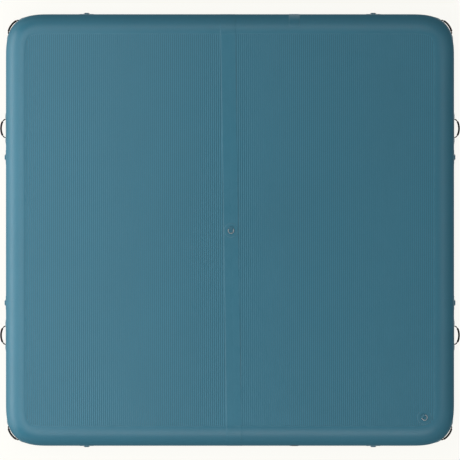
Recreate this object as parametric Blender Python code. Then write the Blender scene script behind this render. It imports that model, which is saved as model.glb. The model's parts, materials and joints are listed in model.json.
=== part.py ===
"""Inflatable dock platform: a nearly square float of drop-stitch fabric with rounded rails.

The float lies flat, deck up. X runs along its longer side, Y along the other, and the
origin is on the ground below its middle. Two deck panels and two bottom panels meet on a
slightly skewed centre seam. One long side wall wraps the rail and laps onto the panels.
D-rings and webbing handles sit on patches, and the inflation valve is in the front rail.
"""

import math

import bmesh
import bpy
from mathutils import Matrix, Vector

# Float
BODY_LENGTH = 2.44
BODY_WIDTH = 2.35
BODY_HEIGHT = 0.20
CORNER_REACH = 0.245  # how far a soft corner runs along each side
CORNER_FULLNESS_SHARE = 0.794  # where the corner curve crosses its diagonal, of the reach
CORNER_STEPS = 8
RAIL_STEPS = 12
SEAT_GAP = 0.0003  # between pieces that touch

# Skins and seams
WALL_THICKNESS = 0.0012
PANEL_THICKNESS = 0.0012
TAPE_THICKNESS = 0.0012
RAIL_LAP = 0.024  # the side wall's glued lap on the flat of each panel
TAPE_WIDTH = 0.083
SEAM_X_BACK = -0.012
SEAM_X_FRONT = 0.023
WALL_JOINT_X = 0.35
STRAP_LENGTH = 0.06  # the strap that covers the side wall's joint, along the rail
STRAP_REACH = 0.125  # and how far it runs up and down from mid height

# Drop-stitch yarns, drawn coarser than they are
YARN_RADIUS = 0.00125
YARN_ROWS = 9
YARN_DROPS = 10
YARN_MARGIN = 0.17

# D-rings and their patches
RING_WIRE = 0.004
RING_OPENING = 0.025
RING_LEG = 0.008
RING_BEND = 0.0025
PATCH_RADIUS = 0.039
PATCH_THICKNESS = 0.001
PATCH_AHEAD = 0.006  # the patch's middle, from the ring's bar towards the bow
TAB_THICKNESS = 0.0012
TAB_WIDTH = 0.022
TAB_TAIL = 0.015
TAB_SINK = 0.0006  # welded into the patch
TAB_TAIL_RISE = 0.0018
CENTRE_RING_Y = -0.002
CORNER_RING_CLEARANCE = 0.006  # from the corner ring's patch to the side wall's lap
CORNER_RING_SHIFT = 0.005  # off the corner's diagonal, towards the front
SIDE_RING_Y = 0.396
SIDE_RING_X = 0.780
SIDE_RING_DROP = 0.002  # the bar, below mid height

# Handles
STRAP_THICKNESS = 0.0025
STRAP_WIDTH = 0.024
STRAP_TAIL = 0.024
SIDE_HANDLE_Y_BACK = 0.553
SIDE_HANDLE_Y_FRONT = -0.573
SIDE_HANDLE_SPAN = 0.102
SIDE_HANDLE_REACH = 0.0323
CORNER_HANDLE_ANGLE_SHARE = 0.4056  # of the quarter turn from the end side to the long side
CORNER_HANDLE_SPAN = 0.094
CORNER_HANDLE_REACH = 0.0165
GRIP_WALL = 0.002
GRIP_LENGTH_SHARE = 0.62  # of the loop's half turn
GRIP_BEVEL = 0.0015
ANCHOR_LENGTH = 0.176
ANCHOR_HEIGHT = 0.066
ANCHOR_CORNER = 0.016
ANCHOR_RAMP = 0.004
ARCH_STEPS = 12

# Valve
VALVE_X = 0.35
FLANGE_RADIUS = 0.024
FLANGE_PROUD = 0.001
BARREL_RADIUS = 0.018
BARREL_DEPTH = 0.032
MOUTH_RADIUS = 0.0145
MOUTH_DEPTH = 0.007
BOWL_RADIUS = 0.0125
BOWL_DEPTH = 0.020
FLOOR_THICKNESS = 0.003
SEAT_RADIUS = 0.0105
STEM_RADIUS = 0.0025
STEM_HEAD_RADIUS = 0.0050
STEM_HEAD_THICKNESS = 0.0025
STEM_HEAD_DEPTH = 0.0085  # below the wall, under the cap
AIR_HOLE_RADIUS = 0.0020
AIR_HOLE_CIRCLE = 0.0082
AIR_HOLES = 6
POPPET_RADIUS = 0.0150
POPPET_THICKNESS = 0.0025
SEAL_THICKNESS = 0.0020
SEAL_INNER_RADIUS = 0.0085
SPRING_RADIUS = 0.0040
SPRING_WIRE = 0.0008
SPRING_TURNS = 4
SPRING_STEPS = 10
CAP_SEAL_THICKNESS = 0.0013
CAP_SEAL_INNER_RADIUS = 0.0100
CAP_POCKET_DEPTH = 0.0035
CAP_POCKET_RADIUS = 0.0115
CAP_BAR_WIDTH = 0.0050
NUT_RADIUS = 0.0240
NUT_DEPTH = 0.0120
RUNNING_CLEARANCE = 0.0004
CUT_OVERRUN = 0.005
ROUND_STEPS = 24

HALF_LENGTH = BODY_LENGTH / 2
HALF_WIDTH = BODY_WIDTH / 2
RAIL_RADIUS = BODY_HEIGHT / 2
CORNER_POWER = math.log(2) / -math.log(CORNER_FULLNESS_SHARE)
CORNER_DUAL = CORNER_POWER / (CORNER_POWER - 1)
FACETS = 4 * CORNER_STEPS
RIGHT_SIDE, BACK_SIDE, LEFT_SIDE, FRONT_SIDE = (q * CORNER_STEPS for q in range(4))
SKIN_STACK = max(WALL_THICKNESS, TAPE_THICKNESS)
PANEL_SKIN = SKIN_STACK + SEAT_GAP  # the panels' outer faces, in from the float's faces
RAIL_TURN = math.pi / RAIL_STEPS
RAIL_FACET = 2 * RAIL_RADIUS * math.tan(RAIL_TURN / 2)
RAIL_ROUND = (RAIL_STEPS - 1) / 2 * RAIL_FACET  # unrolled, from mid height to the flat
WELD = 1e-5


# Outline of the float
def facet_normal(facet):
    turn = facet * math.pi / 2 / CORNER_STEPS
    return Vector((math.cos(turn), math.sin(turn)))


def facet_distance(facet):
    """How far the outline's straight facet lies from the float's middle."""
    across, up = (abs(value) for value in facet_normal(facet))
    rounded = (across**CORNER_DUAL + up**CORNER_DUAL) ** (1 / CORNER_DUAL)
    straight = (HALF_LENGTH - CORNER_REACH) * across + (HALF_WIDTH - CORNER_REACH) * up
    return straight + CORNER_REACH * rounded


def knuckle(facet, inset=0):
    """Where this facet of the outline starts, when the outline is drawn in by the inset."""
    before, after = facet_normal(facet - 1), facet_normal(facet)
    first = facet_distance(facet - 1) - inset
    second = facet_distance(facet) - inset
    cross = before.x * after.y - before.y * after.x
    return Vector(
        (
            (first * after.y - second * before.y) / cross,
            (second * before.x - first * after.x) / cross,
        )
    )


def touch_point(quarter, step):
    """Where the corner curve of this quarter touches its facet."""
    turn = step * math.pi / 2 / CORNER_STEPS
    if quarter % 2:
        turn = math.pi / 2 - turn
    across, up = max(math.cos(turn), 0), max(math.sin(turn), 0)
    spread = (across**CORNER_DUAL + up**CORNER_DUAL) ** (1 / CORNER_DUAL - 1)
    x = HALF_LENGTH - CORNER_REACH + CORNER_REACH * across ** (CORNER_DUAL - 1) * spread
    y = HALF_WIDTH - CORNER_REACH + CORNER_REACH * up ** (CORNER_DUAL - 1) * spread
    return Vector((x if quarter in (0, 3) else -x, y if quarter in (0, 1) else -y))


def outline_stations():
    """How far along the outline each facet starts, and the whole way round last."""
    stations = [0]
    for facet in range(FACETS):
        stations.append(stations[-1] + (knuckle(facet + 1) - knuckle(facet)).length)
    return stations


STATIONS = outline_stations()
AROUND = STATIONS[-1]


def touch_stations():
    """Each touch point with how far along the outline it is."""
    touches = []
    for quarter in range(4):
        for step in range(CORNER_STEPS + 1):
            facet = quarter * CORNER_STEPS + step
            point = touch_point(quarter, step)
            start = STATIONS[facet] if facet < FACETS else AROUND
            touches.append((start + (point - knuckle(facet)).length, point))
    return touches


TOUCHES = touch_stations()


def facet_at(along):
    along %= AROUND
    for facet in range(FACETS):
        if along < STATIONS[facet + 1]:
            return facet, along
    return FACETS - 1, along


def outline_point(along, inset=0):
    facet, along = facet_at(along)
    share = (along - STATIONS[facet]) / (STATIONS[facet + 1] - STATIONS[facet])
    return knuckle(facet, inset).lerp(knuckle(facet + 1, inset), share)


def smooth_place(along):
    """The true curve's point and outward normal, between two touch points."""
    along %= AROUND
    if along < TOUCHES[0][0]:
        along += AROUND
    ends = [*TOUCHES, (TOUCHES[0][0] + AROUND, TOUCHES[0][1])]
    for (start, first), (stop, last) in zip(ends, ends[1:]):
        if along <= stop:
            break
    share = (along - start) / (stop - start)
    if ends.index((start, first)) % (CORNER_STEPS + 1) == CORNER_STEPS:
        point, way = first.lerp(last, share), last - first
    else:
        bend = knuckle(facet_at(start)[0] + 1)
        point = first.lerp(bend, share).lerp(bend.lerp(last, share), share)
        way = bend.lerp(last, share) - first.lerp(bend, share)
    way.normalize()
    return point, Vector((way.y, -way.x))


def side_station(side, ahead):
    """A place on one of the four sides, counted anticlockwise from its middle."""
    return (STATIONS[side] + STATIONS[side + 1]) / 2 + ahead


def corner_station(quarter):
    """The middle of a corner handle, which leans towards the end side."""
    share = CORNER_HANDLE_ANGLE_SHARE
    if quarter % 2:
        share = 1 - share
    step = share * CORNER_STEPS
    low = int(step)
    first = TOUCHES[quarter * (CORNER_STEPS + 1) + low][0]
    last = TOUCHES[quarter * (CORNER_STEPS + 1) + low + 1][0]
    return first + (last - first) * (step - low)


# Round of the rail
def rail_knuckle(step, offset):
    """Outward from the rail's centre line, and up from the ground."""
    turn = -math.pi / 2 + (step + 1 / 2) * RAIL_TURN
    radius = (RAIL_RADIUS + offset) / math.cos(RAIL_TURN / 2)
    return Vector((radius * math.cos(turn), RAIL_RADIUS + radius * math.sin(turn)))


def flat_inset():
    """How far in from the outline the rail turns flat."""
    return RAIL_RADIUS - rail_knuckle(RAIL_STEPS - 1, 0).x


def rail_point(rise, offset):
    """Inset and height of a point on the unrolled rail, lifted off the wall's face."""
    if abs(rise) > RAIL_ROUND + WELD:
        inset = flat_inset() + abs(rise) - RAIL_ROUND
        return inset, RAIL_RADIUS + math.copysign(RAIL_RADIUS + offset, rise)
    place = min(max((rise + RAIL_ROUND) / RAIL_FACET, 0), RAIL_STEPS - 1 - WELD)
    step = int(place)
    out, height = rail_knuckle(step, offset).lerp(
        rail_knuckle(step + 1, offset), place - step
    )
    return RAIL_RADIUS - out, height


def rail_inset(height, offset):
    """Inset of the wall's lifted face at a height on its round."""
    for step in range(RAIL_STEPS - 1):
        low, high = rail_knuckle(step, offset), rail_knuckle(step + 1, offset)
        if height <= high.y:
            break
    return RAIL_RADIUS - low.lerp(high, (height - low.y) / (high.y - low.y)).x


def wall_point(along, rise, offset):
    inset, height = rail_point(rise, offset)
    return outline_point(along, inset).to_3d() + Vector((0, 0, height))


# Objects and meshes
def photo_colour(red, green, blue):
    """A display colour, 0 to 255, as the linear colour that a material takes."""
    shares = [value / 255 for value in (red, green, blue)]
    linear = [((share + 0.055) / 1.055) ** 2.4 for share in shares]
    return (*linear, 1)


def make_material(name, colour, roughness, metallic=0.0):
    material = bpy.data.materials.new(name)
    material.use_nodes = True
    shader = material.node_tree.nodes["Principled BSDF"]
    shader.inputs["Base Color"].default_value = photo_colour(*colour)
    shader.inputs["Roughness"].default_value = roughness
    shader.inputs["Metallic"].default_value = metallic
    material.diffuse_color = photo_colour(*colour)
    return material


def make_object(name, shape, material, matrix=None, smooth_degrees=40):
    """Closes a bmesh into a named object. Its origin is the matrix's, where it turns."""
    bmesh.ops.recalc_face_normals(shape, faces=shape.faces)
    mesh = bpy.data.meshes.new(name)
    shape.to_mesh(mesh)
    shape.free()
    mesh.shade_smooth()
    mesh.set_sharp_from_angle(angle=math.radians(smooth_degrees))
    if material:
        mesh.materials.append(material)
    made = bpy.data.objects.new(name, mesh)
    bpy.context.scene.collection.objects.link(made)
    if matrix:
        made.matrix_world = matrix
    return made


def make_cutter(name, shape, matrix=None):
    cutter = make_object(name, shape, None, matrix)
    cutter.hide_render = True
    cutter.display_type = "WIRE"
    return cutter


def combine(target, operand, operation):
    step = target.modifiers.new(operand.name, "BOOLEAN")
    step.operation = operation
    step.solver = "EXACT"
    step.object = operand


def thicken(flat, low, high):
    """Turns a flat mesh into a solid: low and high give each flat vertex its two places."""
    solid = bmesh.new()
    under = {vert: solid.verts.new(low(vert.co)) for vert in flat.verts}
    over = {vert: solid.verts.new(high(vert.co)) for vert in flat.verts}
    for face in flat.faces:
        solid.faces.new([over[vert] for vert in face.verts])
        solid.faces.new([under[vert] for vert in reversed(face.verts)])
    for edge in flat.edges:
        if edge.is_boundary:
            first, second = edge.verts
            solid.faces.new([under[first], under[second], over[second], over[first]])
    flat.free()
    return solid


def cut_flat(flat, axis, places):
    for place in places:
        point, normal = Vector(), Vector()
        point[axis] = place
        normal[axis] = 1
        geometry = flat.verts[:] + flat.edges[:] + flat.faces[:]
        bmesh.ops.bisect_plane(
            flat, geom=geometry, dist=WELD, plane_co=point, plane_no=normal
        )


def flat_face(points):
    flat = bmesh.new()
    flat.faces.new([flat.verts.new((x, y, 0)) for x, y in points])
    return flat


def circle_points(radius, centre=(0, 0), steps=ROUND_STEPS):
    turns = [2 * math.pi * step / steps for step in range(steps)]
    return [
        (centre[0] + radius * math.cos(turn), centre[1] + radius * math.sin(turn))
        for turn in turns
    ]


def rounded_rectangle(length, height, corner, steps=3):
    points = []
    for quarter, (x, y) in enumerate(((1, 1), (-1, 1), (-1, -1), (1, -1))):
        for step in range(steps + 1):
            turn = (quarter + step / steps) * math.pi / 2
            points.append(
                (
                    x * (length / 2 - corner) + corner * math.cos(turn),
                    y * (height / 2 - corner) + corner * math.sin(turn),
                )
            )
    return points


def drape(flat, along, low, high, lift=None):
    """Lays a flat sheet, drawn along and up the unrolled rail from a station, on the wall."""
    spread = [vert.co.x for vert in flat.verts]
    stations = [
        station + turn * AROUND - along for station in STATIONS[:-1] for turn in (-1, 0, 1)
    ]
    cut_flat(flat, 0, [s for s in stations if min(spread) < s < max(spread)])
    climbs = [vert.co.y for vert in flat.verts]
    folds = [(step + 1 / 2) * RAIL_FACET for step in range(-RAIL_STEPS // 2, RAIL_STEPS // 2)]
    cut_flat(flat, 1, [fold for fold in folds if min(climbs) < fold < max(climbs)])

    def level(offset):
        return lambda place: wall_point(
            along + place.x, place.y, offset + (lift(place) if lift else 0)
        )

    return thicken(flat, level(low), level(high))


def turned(profile, steps=ROUND_STEPS):
    """A closed profile of (radius, height) points, turned about Z. Radius 0 is the axis."""
    shape = bmesh.new()
    rings = []
    for radius, height in profile:
        if radius == 0:
            rings.append([shape.verts.new((0, 0, height))] * steps)
        else:
            rings.append(
                [shape.verts.new((x, y, height)) for x, y in circle_points(radius, steps=steps)]
            )
    for near, far in zip(rings, rings[1:] + rings[:1]):
        for step in range(steps):
            after = (step + 1) % steps
            corners = [near[step], near[after], far[after], far[step]]
            corners = list(dict.fromkeys(corners))
            if len(corners) > 2:
                shape.faces.new(corners)
    return shape


def offset_rings(path, section, closed):
    """The section's points, out and up, carried along a level path with mitred bends."""
    rings = []
    for index, point in enumerate(path):
        before = path[index - 1] if closed or index else None
        after = path[(index + 1) % len(path)] if closed or index < len(path) - 1 else None
        ways = [
            way.normalized()
            for way in (point - before if before else None, after - point if after else None)
            if way
        ]
        mean = sum(ways, Vector((0, 0))).normalized()
        normal = Vector((mean.y, -mean.x))
        stretch = 1 / mean.dot(ways[0])
        rings.append(
            [(point + normal * out * stretch).to_3d() + Vector((0, 0, up)) for out, up in section]
        )
    return rings


def swept(path, section, closed=False):
    """A solid bar along a level path."""
    shape = bmesh.new()
    rings = [[shape.verts.new(place) for place in ring] for ring in offset_rings(path, section, closed)]
    pairs = list(zip(rings, rings[1:]))
    if closed:
        pairs.append((rings[-1], rings[0]))
    for near, far in pairs:
        for step in range(len(section)):
            after = (step + 1) % len(section)
            shape.faces.new([near[step], near[after], far[after], far[step]])
    if not closed:
        shape.faces.new(rings[0])
        shape.faces.new(rings[-1])
    return shape


def swept_sleeve(path, width, thickness, wall, bevel):
    """A bevelled sleeve along a level path, round a strap of this width and thickness."""
    out, up = thickness / 2, width / 2
    hole = [(out, up), (-out, up), (-out, -up), (out, -up)]
    skin = []
    for index, (x, y) in enumerate(hole):
        wide = Vector((math.copysign(out + wall, x), math.copysign(up + wall, y)))
        shift_x = Vector((math.copysign(bevel, x), 0))
        shift_y = Vector((0, math.copysign(bevel, y)))
        pair = [wide - shift_y, wide - shift_x]
        skin += pair if index % 2 == 0 else reversed(pair)
    shape = bmesh.new()
    outer = [[shape.verts.new(p) for p in ring] for ring in offset_rings(path, skin, False)]
    inner = [[shape.verts.new(p) for p in ring] for ring in offset_rings(path, hole, False)]
    for rings in (outer, inner):
        for near, far in zip(rings, rings[1:]):
            for step in range(len(near)):
                after = (step + 1) % len(near)
                shape.faces.new([near[step], near[after], far[after], far[step]])
    for skin_ring, hole_ring in ((outer[0], inner[0]), (outer[-1], inner[-1])):
        for step in range(4):
            after = (step + 1) % 4
            first, second = skin_ring[2 * step], skin_ring[2 * step + 1]
            shape.faces.new([hole_ring[step], first, second])
            third = skin_ring[(2 * step + 2) % 8]
            shape.faces.new([hole_ring[step], second, third, hole_ring[after]])
    return shape


def tube(points, radius, sides):
    """A tube along any open path of points, mitred at its bends."""
    shape = bmesh.new()
    rings = []
    across = None
    for index, point in enumerate(points):
        ways = []
        if index:
            ways.append((point - points[index - 1]).normalized())
        if index < len(points) - 1:
            ways.append((points[index + 1] - point).normalized())
        if across is None:
            across = ways[0].orthogonal().normalized()
        incoming = ways[0]
        across = (across - incoming * across.dot(incoming)).normalized()
        side = incoming.cross(across)
        mean = (ways[0] + ways[-1]).normalized()
        ring = []
        for step in range(sides):
            turn = 2 * math.pi * step / sides
            spoke = (across * math.cos(turn) + side * math.sin(turn)) * radius
            slide = -spoke.dot(mean) / incoming.dot(mean)
            ring.append(shape.verts.new(point + spoke + incoming * slide))
        rings.append(ring)
        if len(ways) == 2:
            across = incoming.rotation_difference(ways[1]) @ across
    for near, far in zip(rings, rings[1:]):
        for step in range(sides):
            after = (step + 1) % sides
            shape.faces.new([near[step], near[after], far[after], far[step]])
    shape.faces.new(rings[0])
    shape.faces.new(rings[-1])
    return shape


def frame_at(origin, ahead, out):
    """A local frame: Y ahead, Z out of the surface, X along a ring's bar."""
    ahead, out = Vector(ahead).normalized(), Vector(out).normalized()
    along = ahead.cross(out)
    turn = Matrix((along, ahead, out)).transposed().to_4x4()
    return Matrix.Translation(origin) @ turn


# Panels, tapes and side wall
def seam_x(y):
    share = (HALF_WIDTH - y) / BODY_WIDTH
    return SEAM_X_BACK + (SEAM_X_FRONT - SEAM_X_BACK) * share


def make_panel(name, side, low, material):
    """One panel of the deck or bottom, on the left (-1) or right (1) of the seam."""
    inner_knuckle = rail_knuckle(RAIL_STEPS - 1, -WALL_THICKNESS)
    inset = RAIL_RADIUS - inner_knuckle.x + SEAT_GAP
    flat = flat_face([knuckle(facet, inset) for facet in range(FACETS)])
    back = Vector((SEAM_X_BACK, HALF_WIDTH, 0))
    way = Vector((SEAM_X_FRONT, -HALF_WIDTH, 0)) - back
    away = Vector((-way.y, way.x, 0)).normalized() * side
    geometry = flat.verts[:] + flat.edges[:] + flat.faces[:]
    bmesh.ops.bisect_plane(
        flat,
        geom=geometry,
        dist=WELD,
        plane_co=back + away * SEAT_GAP / 2,
        plane_no=-away,
        clear_outer=True,
    )
    shape = thicken(
        flat,
        lambda place: (place.x, place.y, low),
        lambda place: (place.x, place.y, low + PANEL_THICKNESS),
    )
    make_object(name, shape, material)


def lap_inset():
    """How far the inner edge of the side wall's lap lies in from the outline."""
    return flat_inset() + RAIL_LAP


def make_seam_tape(name, low, material):
    edge = lap_inset() + SEAT_GAP
    back, front = HALF_WIDTH - edge, edge - HALF_WIDTH
    flat = flat_face(
        [
            (seam_x(back) - TAPE_WIDTH / 2, back),
            (seam_x(front) - TAPE_WIDTH / 2, front),
            (seam_x(front) + TAPE_WIDTH / 2, front),
            (seam_x(back) + TAPE_WIDTH / 2, back),
        ]
    )
    shape = thicken(
        flat,
        lambda place: (place.x, place.y, low),
        lambda place: (place.x, place.y, low + TAPE_THICKNESS),
    )
    make_object(name, shape, material)


def make_side_wall(material, tape_material):
    """The wall runs once round the float; a strap covers the joint of its two ends."""
    start = side_station(BACK_SIDE, -WALL_JOINT_X)
    reach = RAIL_ROUND + RAIL_LAP
    length = AROUND - SEAT_GAP
    flat = flat_face([(0, -reach), (length, -reach), (length, reach), (0, reach)])
    shape = drape(flat, start + SEAT_GAP / 2, -WALL_THICKNESS, 0)
    wall = make_object("side_wall", shape, material)
    flat = flat_face(rounded_rectangle(STRAP_LENGTH, 2 * STRAP_REACH, STRAP_LENGTH / 8))
    shape = drape(flat, start, SEAT_GAP, SEAT_GAP + TAPE_THICKNESS)
    make_object("side_wall_joint_strap", shape, tape_material)
    return wall


def make_yarns(material):
    """One yarn that drops between deck and bottom, row after row."""
    inner = PANEL_SKIN + PANEL_THICKNESS + SEAT_GAP + YARN_RADIUS
    low, high = inner, BODY_HEIGHT - inner
    reach_x, reach_y = HALF_LENGTH - YARN_MARGIN, HALF_WIDTH - YARN_MARGIN
    points = []
    level = low
    for row in range(YARN_ROWS):
        y = -reach_y + 2 * reach_y * row / (YARN_ROWS - 1)
        drops = range(YARN_DROPS)
        for drop in drops if row % 2 == 0 else reversed(drops):
            x = -reach_x + 2 * reach_x * drop / (YARN_DROPS - 1)
            points.append(Vector((x, y, level)))
            level = low + high - level
            points.append(Vector((x, y, level)))
    make_object("drop_stitch_yarns", tube(points, YARN_RADIUS, 3), material)


# D-rings
EYE_INNER = RING_WIRE / 2 + SEAT_GAP
EYE_OUTER = EYE_INNER + TAB_THICKNESS
BAR_HEIGHT = EYE_OUTER - TAB_SINK  # the bar's axis above the patch's face
RING_SPAN = (RING_OPENING + RING_WIRE) / 2
RING_LENGTH = RING_LEG + RING_SPAN


def ring_shape():
    """A D-ring in its own frame: the bar on X, the bow towards Y."""
    path = [
        Vector((-RING_SPAN, RING_BEND)),
        Vector((RING_BEND - RING_SPAN, 0)),
        Vector((RING_SPAN - RING_BEND, 0)),
        Vector((RING_SPAN, RING_BEND)),
    ]
    bow_steps = 8
    for step in range(bow_steps + 1):
        turn = math.pi * step / bow_steps
        path.append(Vector((RING_SPAN * math.cos(turn), RING_LEG + RING_SPAN * math.sin(turn))))
    section = circle_points(RING_WIRE / 2, steps=8)
    return swept(path, section, closed=True)


def tab_shape():
    """A webbing tab folded round the bar, its tail welded down behind it."""
    steps = 12
    hole = circle_points(EYE_INNER / math.cos(math.pi / steps), steps=steps)
    skin = circle_points(EYE_OUTER / math.cos(math.pi / steps), steps=steps)
    flat = bmesh.new()
    inner = [flat.verts.new((-TAB_WIDTH / 2, y, z)) for y, z in hole]
    outer = [flat.verts.new((-TAB_WIDTH / 2, y, z)) for y, z in skin]
    for step in range(steps):
        after = (step + 1) % steps
        flat.faces.new([inner[step], inner[after], outer[after], outer[step]])
    top = flat.verts.new((-TAB_WIDTH / 2, -TAB_TAIL, TAB_TAIL_RISE - BAR_HEIGHT))
    bottom = flat.verts.new((-TAB_WIDTH / 2, -TAB_TAIL, -EYE_OUTER))
    flat.faces.new([*outer[5:10], bottom, top])
    geometry = bmesh.ops.extrude_face_region(flat, geom=flat.faces[:])["geom"]
    moved = [item for item in geometry if isinstance(item, bmesh.types.BMVert)]
    bmesh.ops.translate(flat, verts=moved, vec=(TAB_WIDTH, 0, 0))
    return flat


def make_ring(name, frame, tilt, material):
    turn = Matrix.Rotation(-tilt, 4, "X")
    make_object(name, ring_shape(), material, frame @ turn, smooth_degrees=60)


def corner_ring_place():
    """The corner ring's patch lies just inside the lap on the front right corner's diagonal."""
    corner = touch_point(0, CORNER_STEPS // 2)
    diagonal = Vector((1, 1)).normalized()
    place = corner - diagonal * (lap_inset() + CORNER_RING_CLEARANCE + PATCH_RADIUS)
    place += Vector((-diagonal.y, diagonal.x)) * CORNER_RING_SHIFT
    return place.x, -place.y


def make_deck_ring(name, x, y, ahead, base, materials):
    """A ring that lies on the deck. Base is the height of what its patch is stuck to."""
    patch_top = base + SEAT_GAP + PATCH_THICKNESS
    centre = Vector((x, y, 0))
    ahead = Vector((*ahead, 0)).normalized()
    frame = frame_at(
        centre - ahead * PATCH_AHEAD + Vector((0, 0, patch_top + BAR_HEIGHT)), ahead, (0, 0, 1)
    )
    flat = flat_face(circle_points(PATCH_RADIUS, (x, y)))
    shape = thicken(
        flat,
        lambda place: (place.x, place.y, base + SEAT_GAP),
        lambda place: (place.x, place.y, patch_top),
    )
    patch = make_object(f"{name}_patch", shape, materials["patch"])
    combine(patch, make_cutter(f"{name}_tab", tab_shape(), frame), "UNION")
    slack = BAR_HEIGHT - RING_WIRE / 2 - SEAT_GAP
    make_ring(name, frame, math.asin(slack / RING_LENGTH), materials["steel"])


def make_side_ring(name, side, ahead, materials):
    """A ring that hangs from its tab on the rail."""
    along = side_station(side, ahead)
    bar_rise = -SIDE_RING_DROP
    flat = flat_face(circle_points(PATCH_RADIUS, (0, bar_rise - PATCH_AHEAD)))
    shape = drape(flat, along, SEAT_GAP, SEAT_GAP + PATCH_THICKNESS)
    patch = make_object(f"{name}_patch", shape, materials["patch"])
    bar = wall_point(along, bar_rise, SEAT_GAP + PATCH_THICKNESS + BAR_HEIGHT)
    frame = frame_at(bar, (0, 0, -1), facet_normal(side).to_3d())
    combine(patch, make_cutter(f"{name}_tab", tab_shape(), frame), "UNION")
    make_ring(name, frame, 0, materials["steel"])


# Handles
STRAP_LYING = SEAT_GAP + STRAP_THICKNESS / 2  # its middle line, where it lies on the wall


def loop_points(along, span, reach, first, last, steps):
    """The strap's middle line over its free loop, between two shares of the half turn."""
    rise = reach - GRIP_WALL - SEAT_GAP - STRAP_THICKNESS / 2 - STRAP_LYING
    half = (span - STRAP_THICKNESS) / 2
    points = []
    for step in range(steps + 1):
        turn = math.pi * (first + (last - first) * step / steps)
        point, normal = smooth_place(along - half * math.cos(turn))
        points.append(point + normal * (STRAP_LYING + rise * math.sin(turn)))
    return points


def tail_points(along, span, way):
    """The strap's end on the wall, from the loop outwards."""
    start = along + way * (span - STRAP_THICKNESS) / 2
    stop = start + way * STRAP_TAIL
    low, high = sorted((start, stop))
    bends = [s + turn * AROUND for s in STATIONS[:-1] for turn in (-1, 0, 1)]
    places = sorted(
        [low, high, *(bend for bend in bends if low + WELD < bend < high - WELD)],
        key=lambda place: abs(place - start),
    )
    return [outline_point(place, -STRAP_LYING) for place in places]


def make_handle(name, along, span, reach, materials):
    """A webbing loop on the rail, its ends held down by one anchor patch, with a grip.

    The loop swings about the line between the two places where it leaves the wall.
    """
    head, foot = tail_points(along, span, -1), tail_points(along, span, 1)
    loop = loop_points(along, span, reach, 0, 1, ARCH_STEPS)
    origin = (loop[0] + loop[-1]) / 2
    pivot = Matrix.Translation(origin.to_3d() + Vector((0, 0, RAIL_RADIUS)))
    path = [*reversed(head), *loop[1:-1], *foot]
    thick, wide = STRAP_THICKNESS / 2, STRAP_WIDTH / 2
    section = [(thick, wide), (-thick, wide), (-thick, -wide), (thick, -wide)]
    make_object(
        f"{name}_strap",
        swept([point - origin for point in path], section),
        materials["webbing"],
        pivot,
    )

    start = (1 - GRIP_LENGTH_SHARE) / 2
    path = loop_points(along, span, reach, start, 1 - start, ARCH_STEPS - 4)
    shape = swept_sleeve(
        [point - origin for point in path],
        STRAP_WIDTH + 2 * SEAT_GAP,
        STRAP_THICKNESS + 2 * SEAT_GAP,
        GRIP_WALL,
        GRIP_BEVEL,
    )
    make_object(f"{name}_grip", shape, materials["grip"], pivot)
    make_anchor(f"{name}_anchor", along, span, materials["patch"])


def make_anchor(name, along, span, material):
    """A patch over both ends of the strap, raised over them, with a slot for each."""
    mouth = (span - STRAP_THICKNESS) / 2
    ceiling_start = mouth + STRAP_THICKNESS / 2 + 2 * SEAT_GAP
    slot_start = mouth - STRAP_THICKNESS - 4 * SEAT_GAP
    ceiling_stop = mouth + STRAP_TAIL + 2 * SEAT_GAP
    half_height = STRAP_WIDTH / 2 + 2 * SEAT_GAP
    rise = STRAP_THICKNESS + SEAT_GAP
    flat = flat_face(rounded_rectangle(ANCHOR_LENGTH, ANCHOR_HEIGHT, ANCHOR_CORNER))
    marks = (slot_start, ceiling_start, ceiling_stop, ceiling_stop + ANCHOR_RAMP)
    cut_flat(flat, 0, [way * mark for mark in marks for way in (-1, 1)])
    edges = (half_height, half_height + ANCHOR_RAMP)
    cut_flat(flat, 1, [way * edge for edge in edges for way in (-1, 1)])
    slots = [
        face
        for face in flat.faces
        if slot_start < abs(face.calc_center_bounds().x) < ceiling_start
        and abs(face.calc_center_bounds().y) < half_height + ANCHOR_RAMP
    ]
    bmesh.ops.delete(flat, geom=slots, context="FACES")

    def lift(place):
        if abs(place.x) < ceiling_start - WELD:
            return 0
        beyond = max(abs(place.x) - ceiling_stop, abs(place.y) - half_height, 0)
        return rise * max(1 - beyond / ANCHOR_RAMP, 0)

    shape = drape(flat, along, SEAT_GAP, SEAT_GAP + PATCH_THICKNESS, lift)
    make_object(name, shape, material)


# Valve
def saddle_ring(inner, outer, flat_out, offset):
    """A ring about the valve's axis: one face flat, the other following the rail's wall."""
    flat = bmesh.new()
    near = [flat.verts.new((*place, 0)) for place in circle_points(inner)]
    far = [flat.verts.new((*place, 0)) for place in circle_points(outer)]
    for step in range(ROUND_STEPS):
        after = (step + 1) % ROUND_STEPS
        flat.faces.new([near[step], far[step], far[after], near[after]])
    fold = rail_knuckle(RAIL_STEPS // 2, offset).y - RAIL_RADIUS
    cut_flat(flat, 1, [fold, -fold])

    def against_wall(place):
        inset = rail_inset(RAIL_RADIUS + place.y, offset)
        return (VALVE_X + place.x, inset - HALF_WIDTH, RAIL_RADIUS + place.y)

    def level(place):
        return (VALVE_X + place.x, -HALF_WIDTH - flat_out, RAIL_RADIUS + place.y)

    return thicken(flat, against_wall, level)


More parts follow.
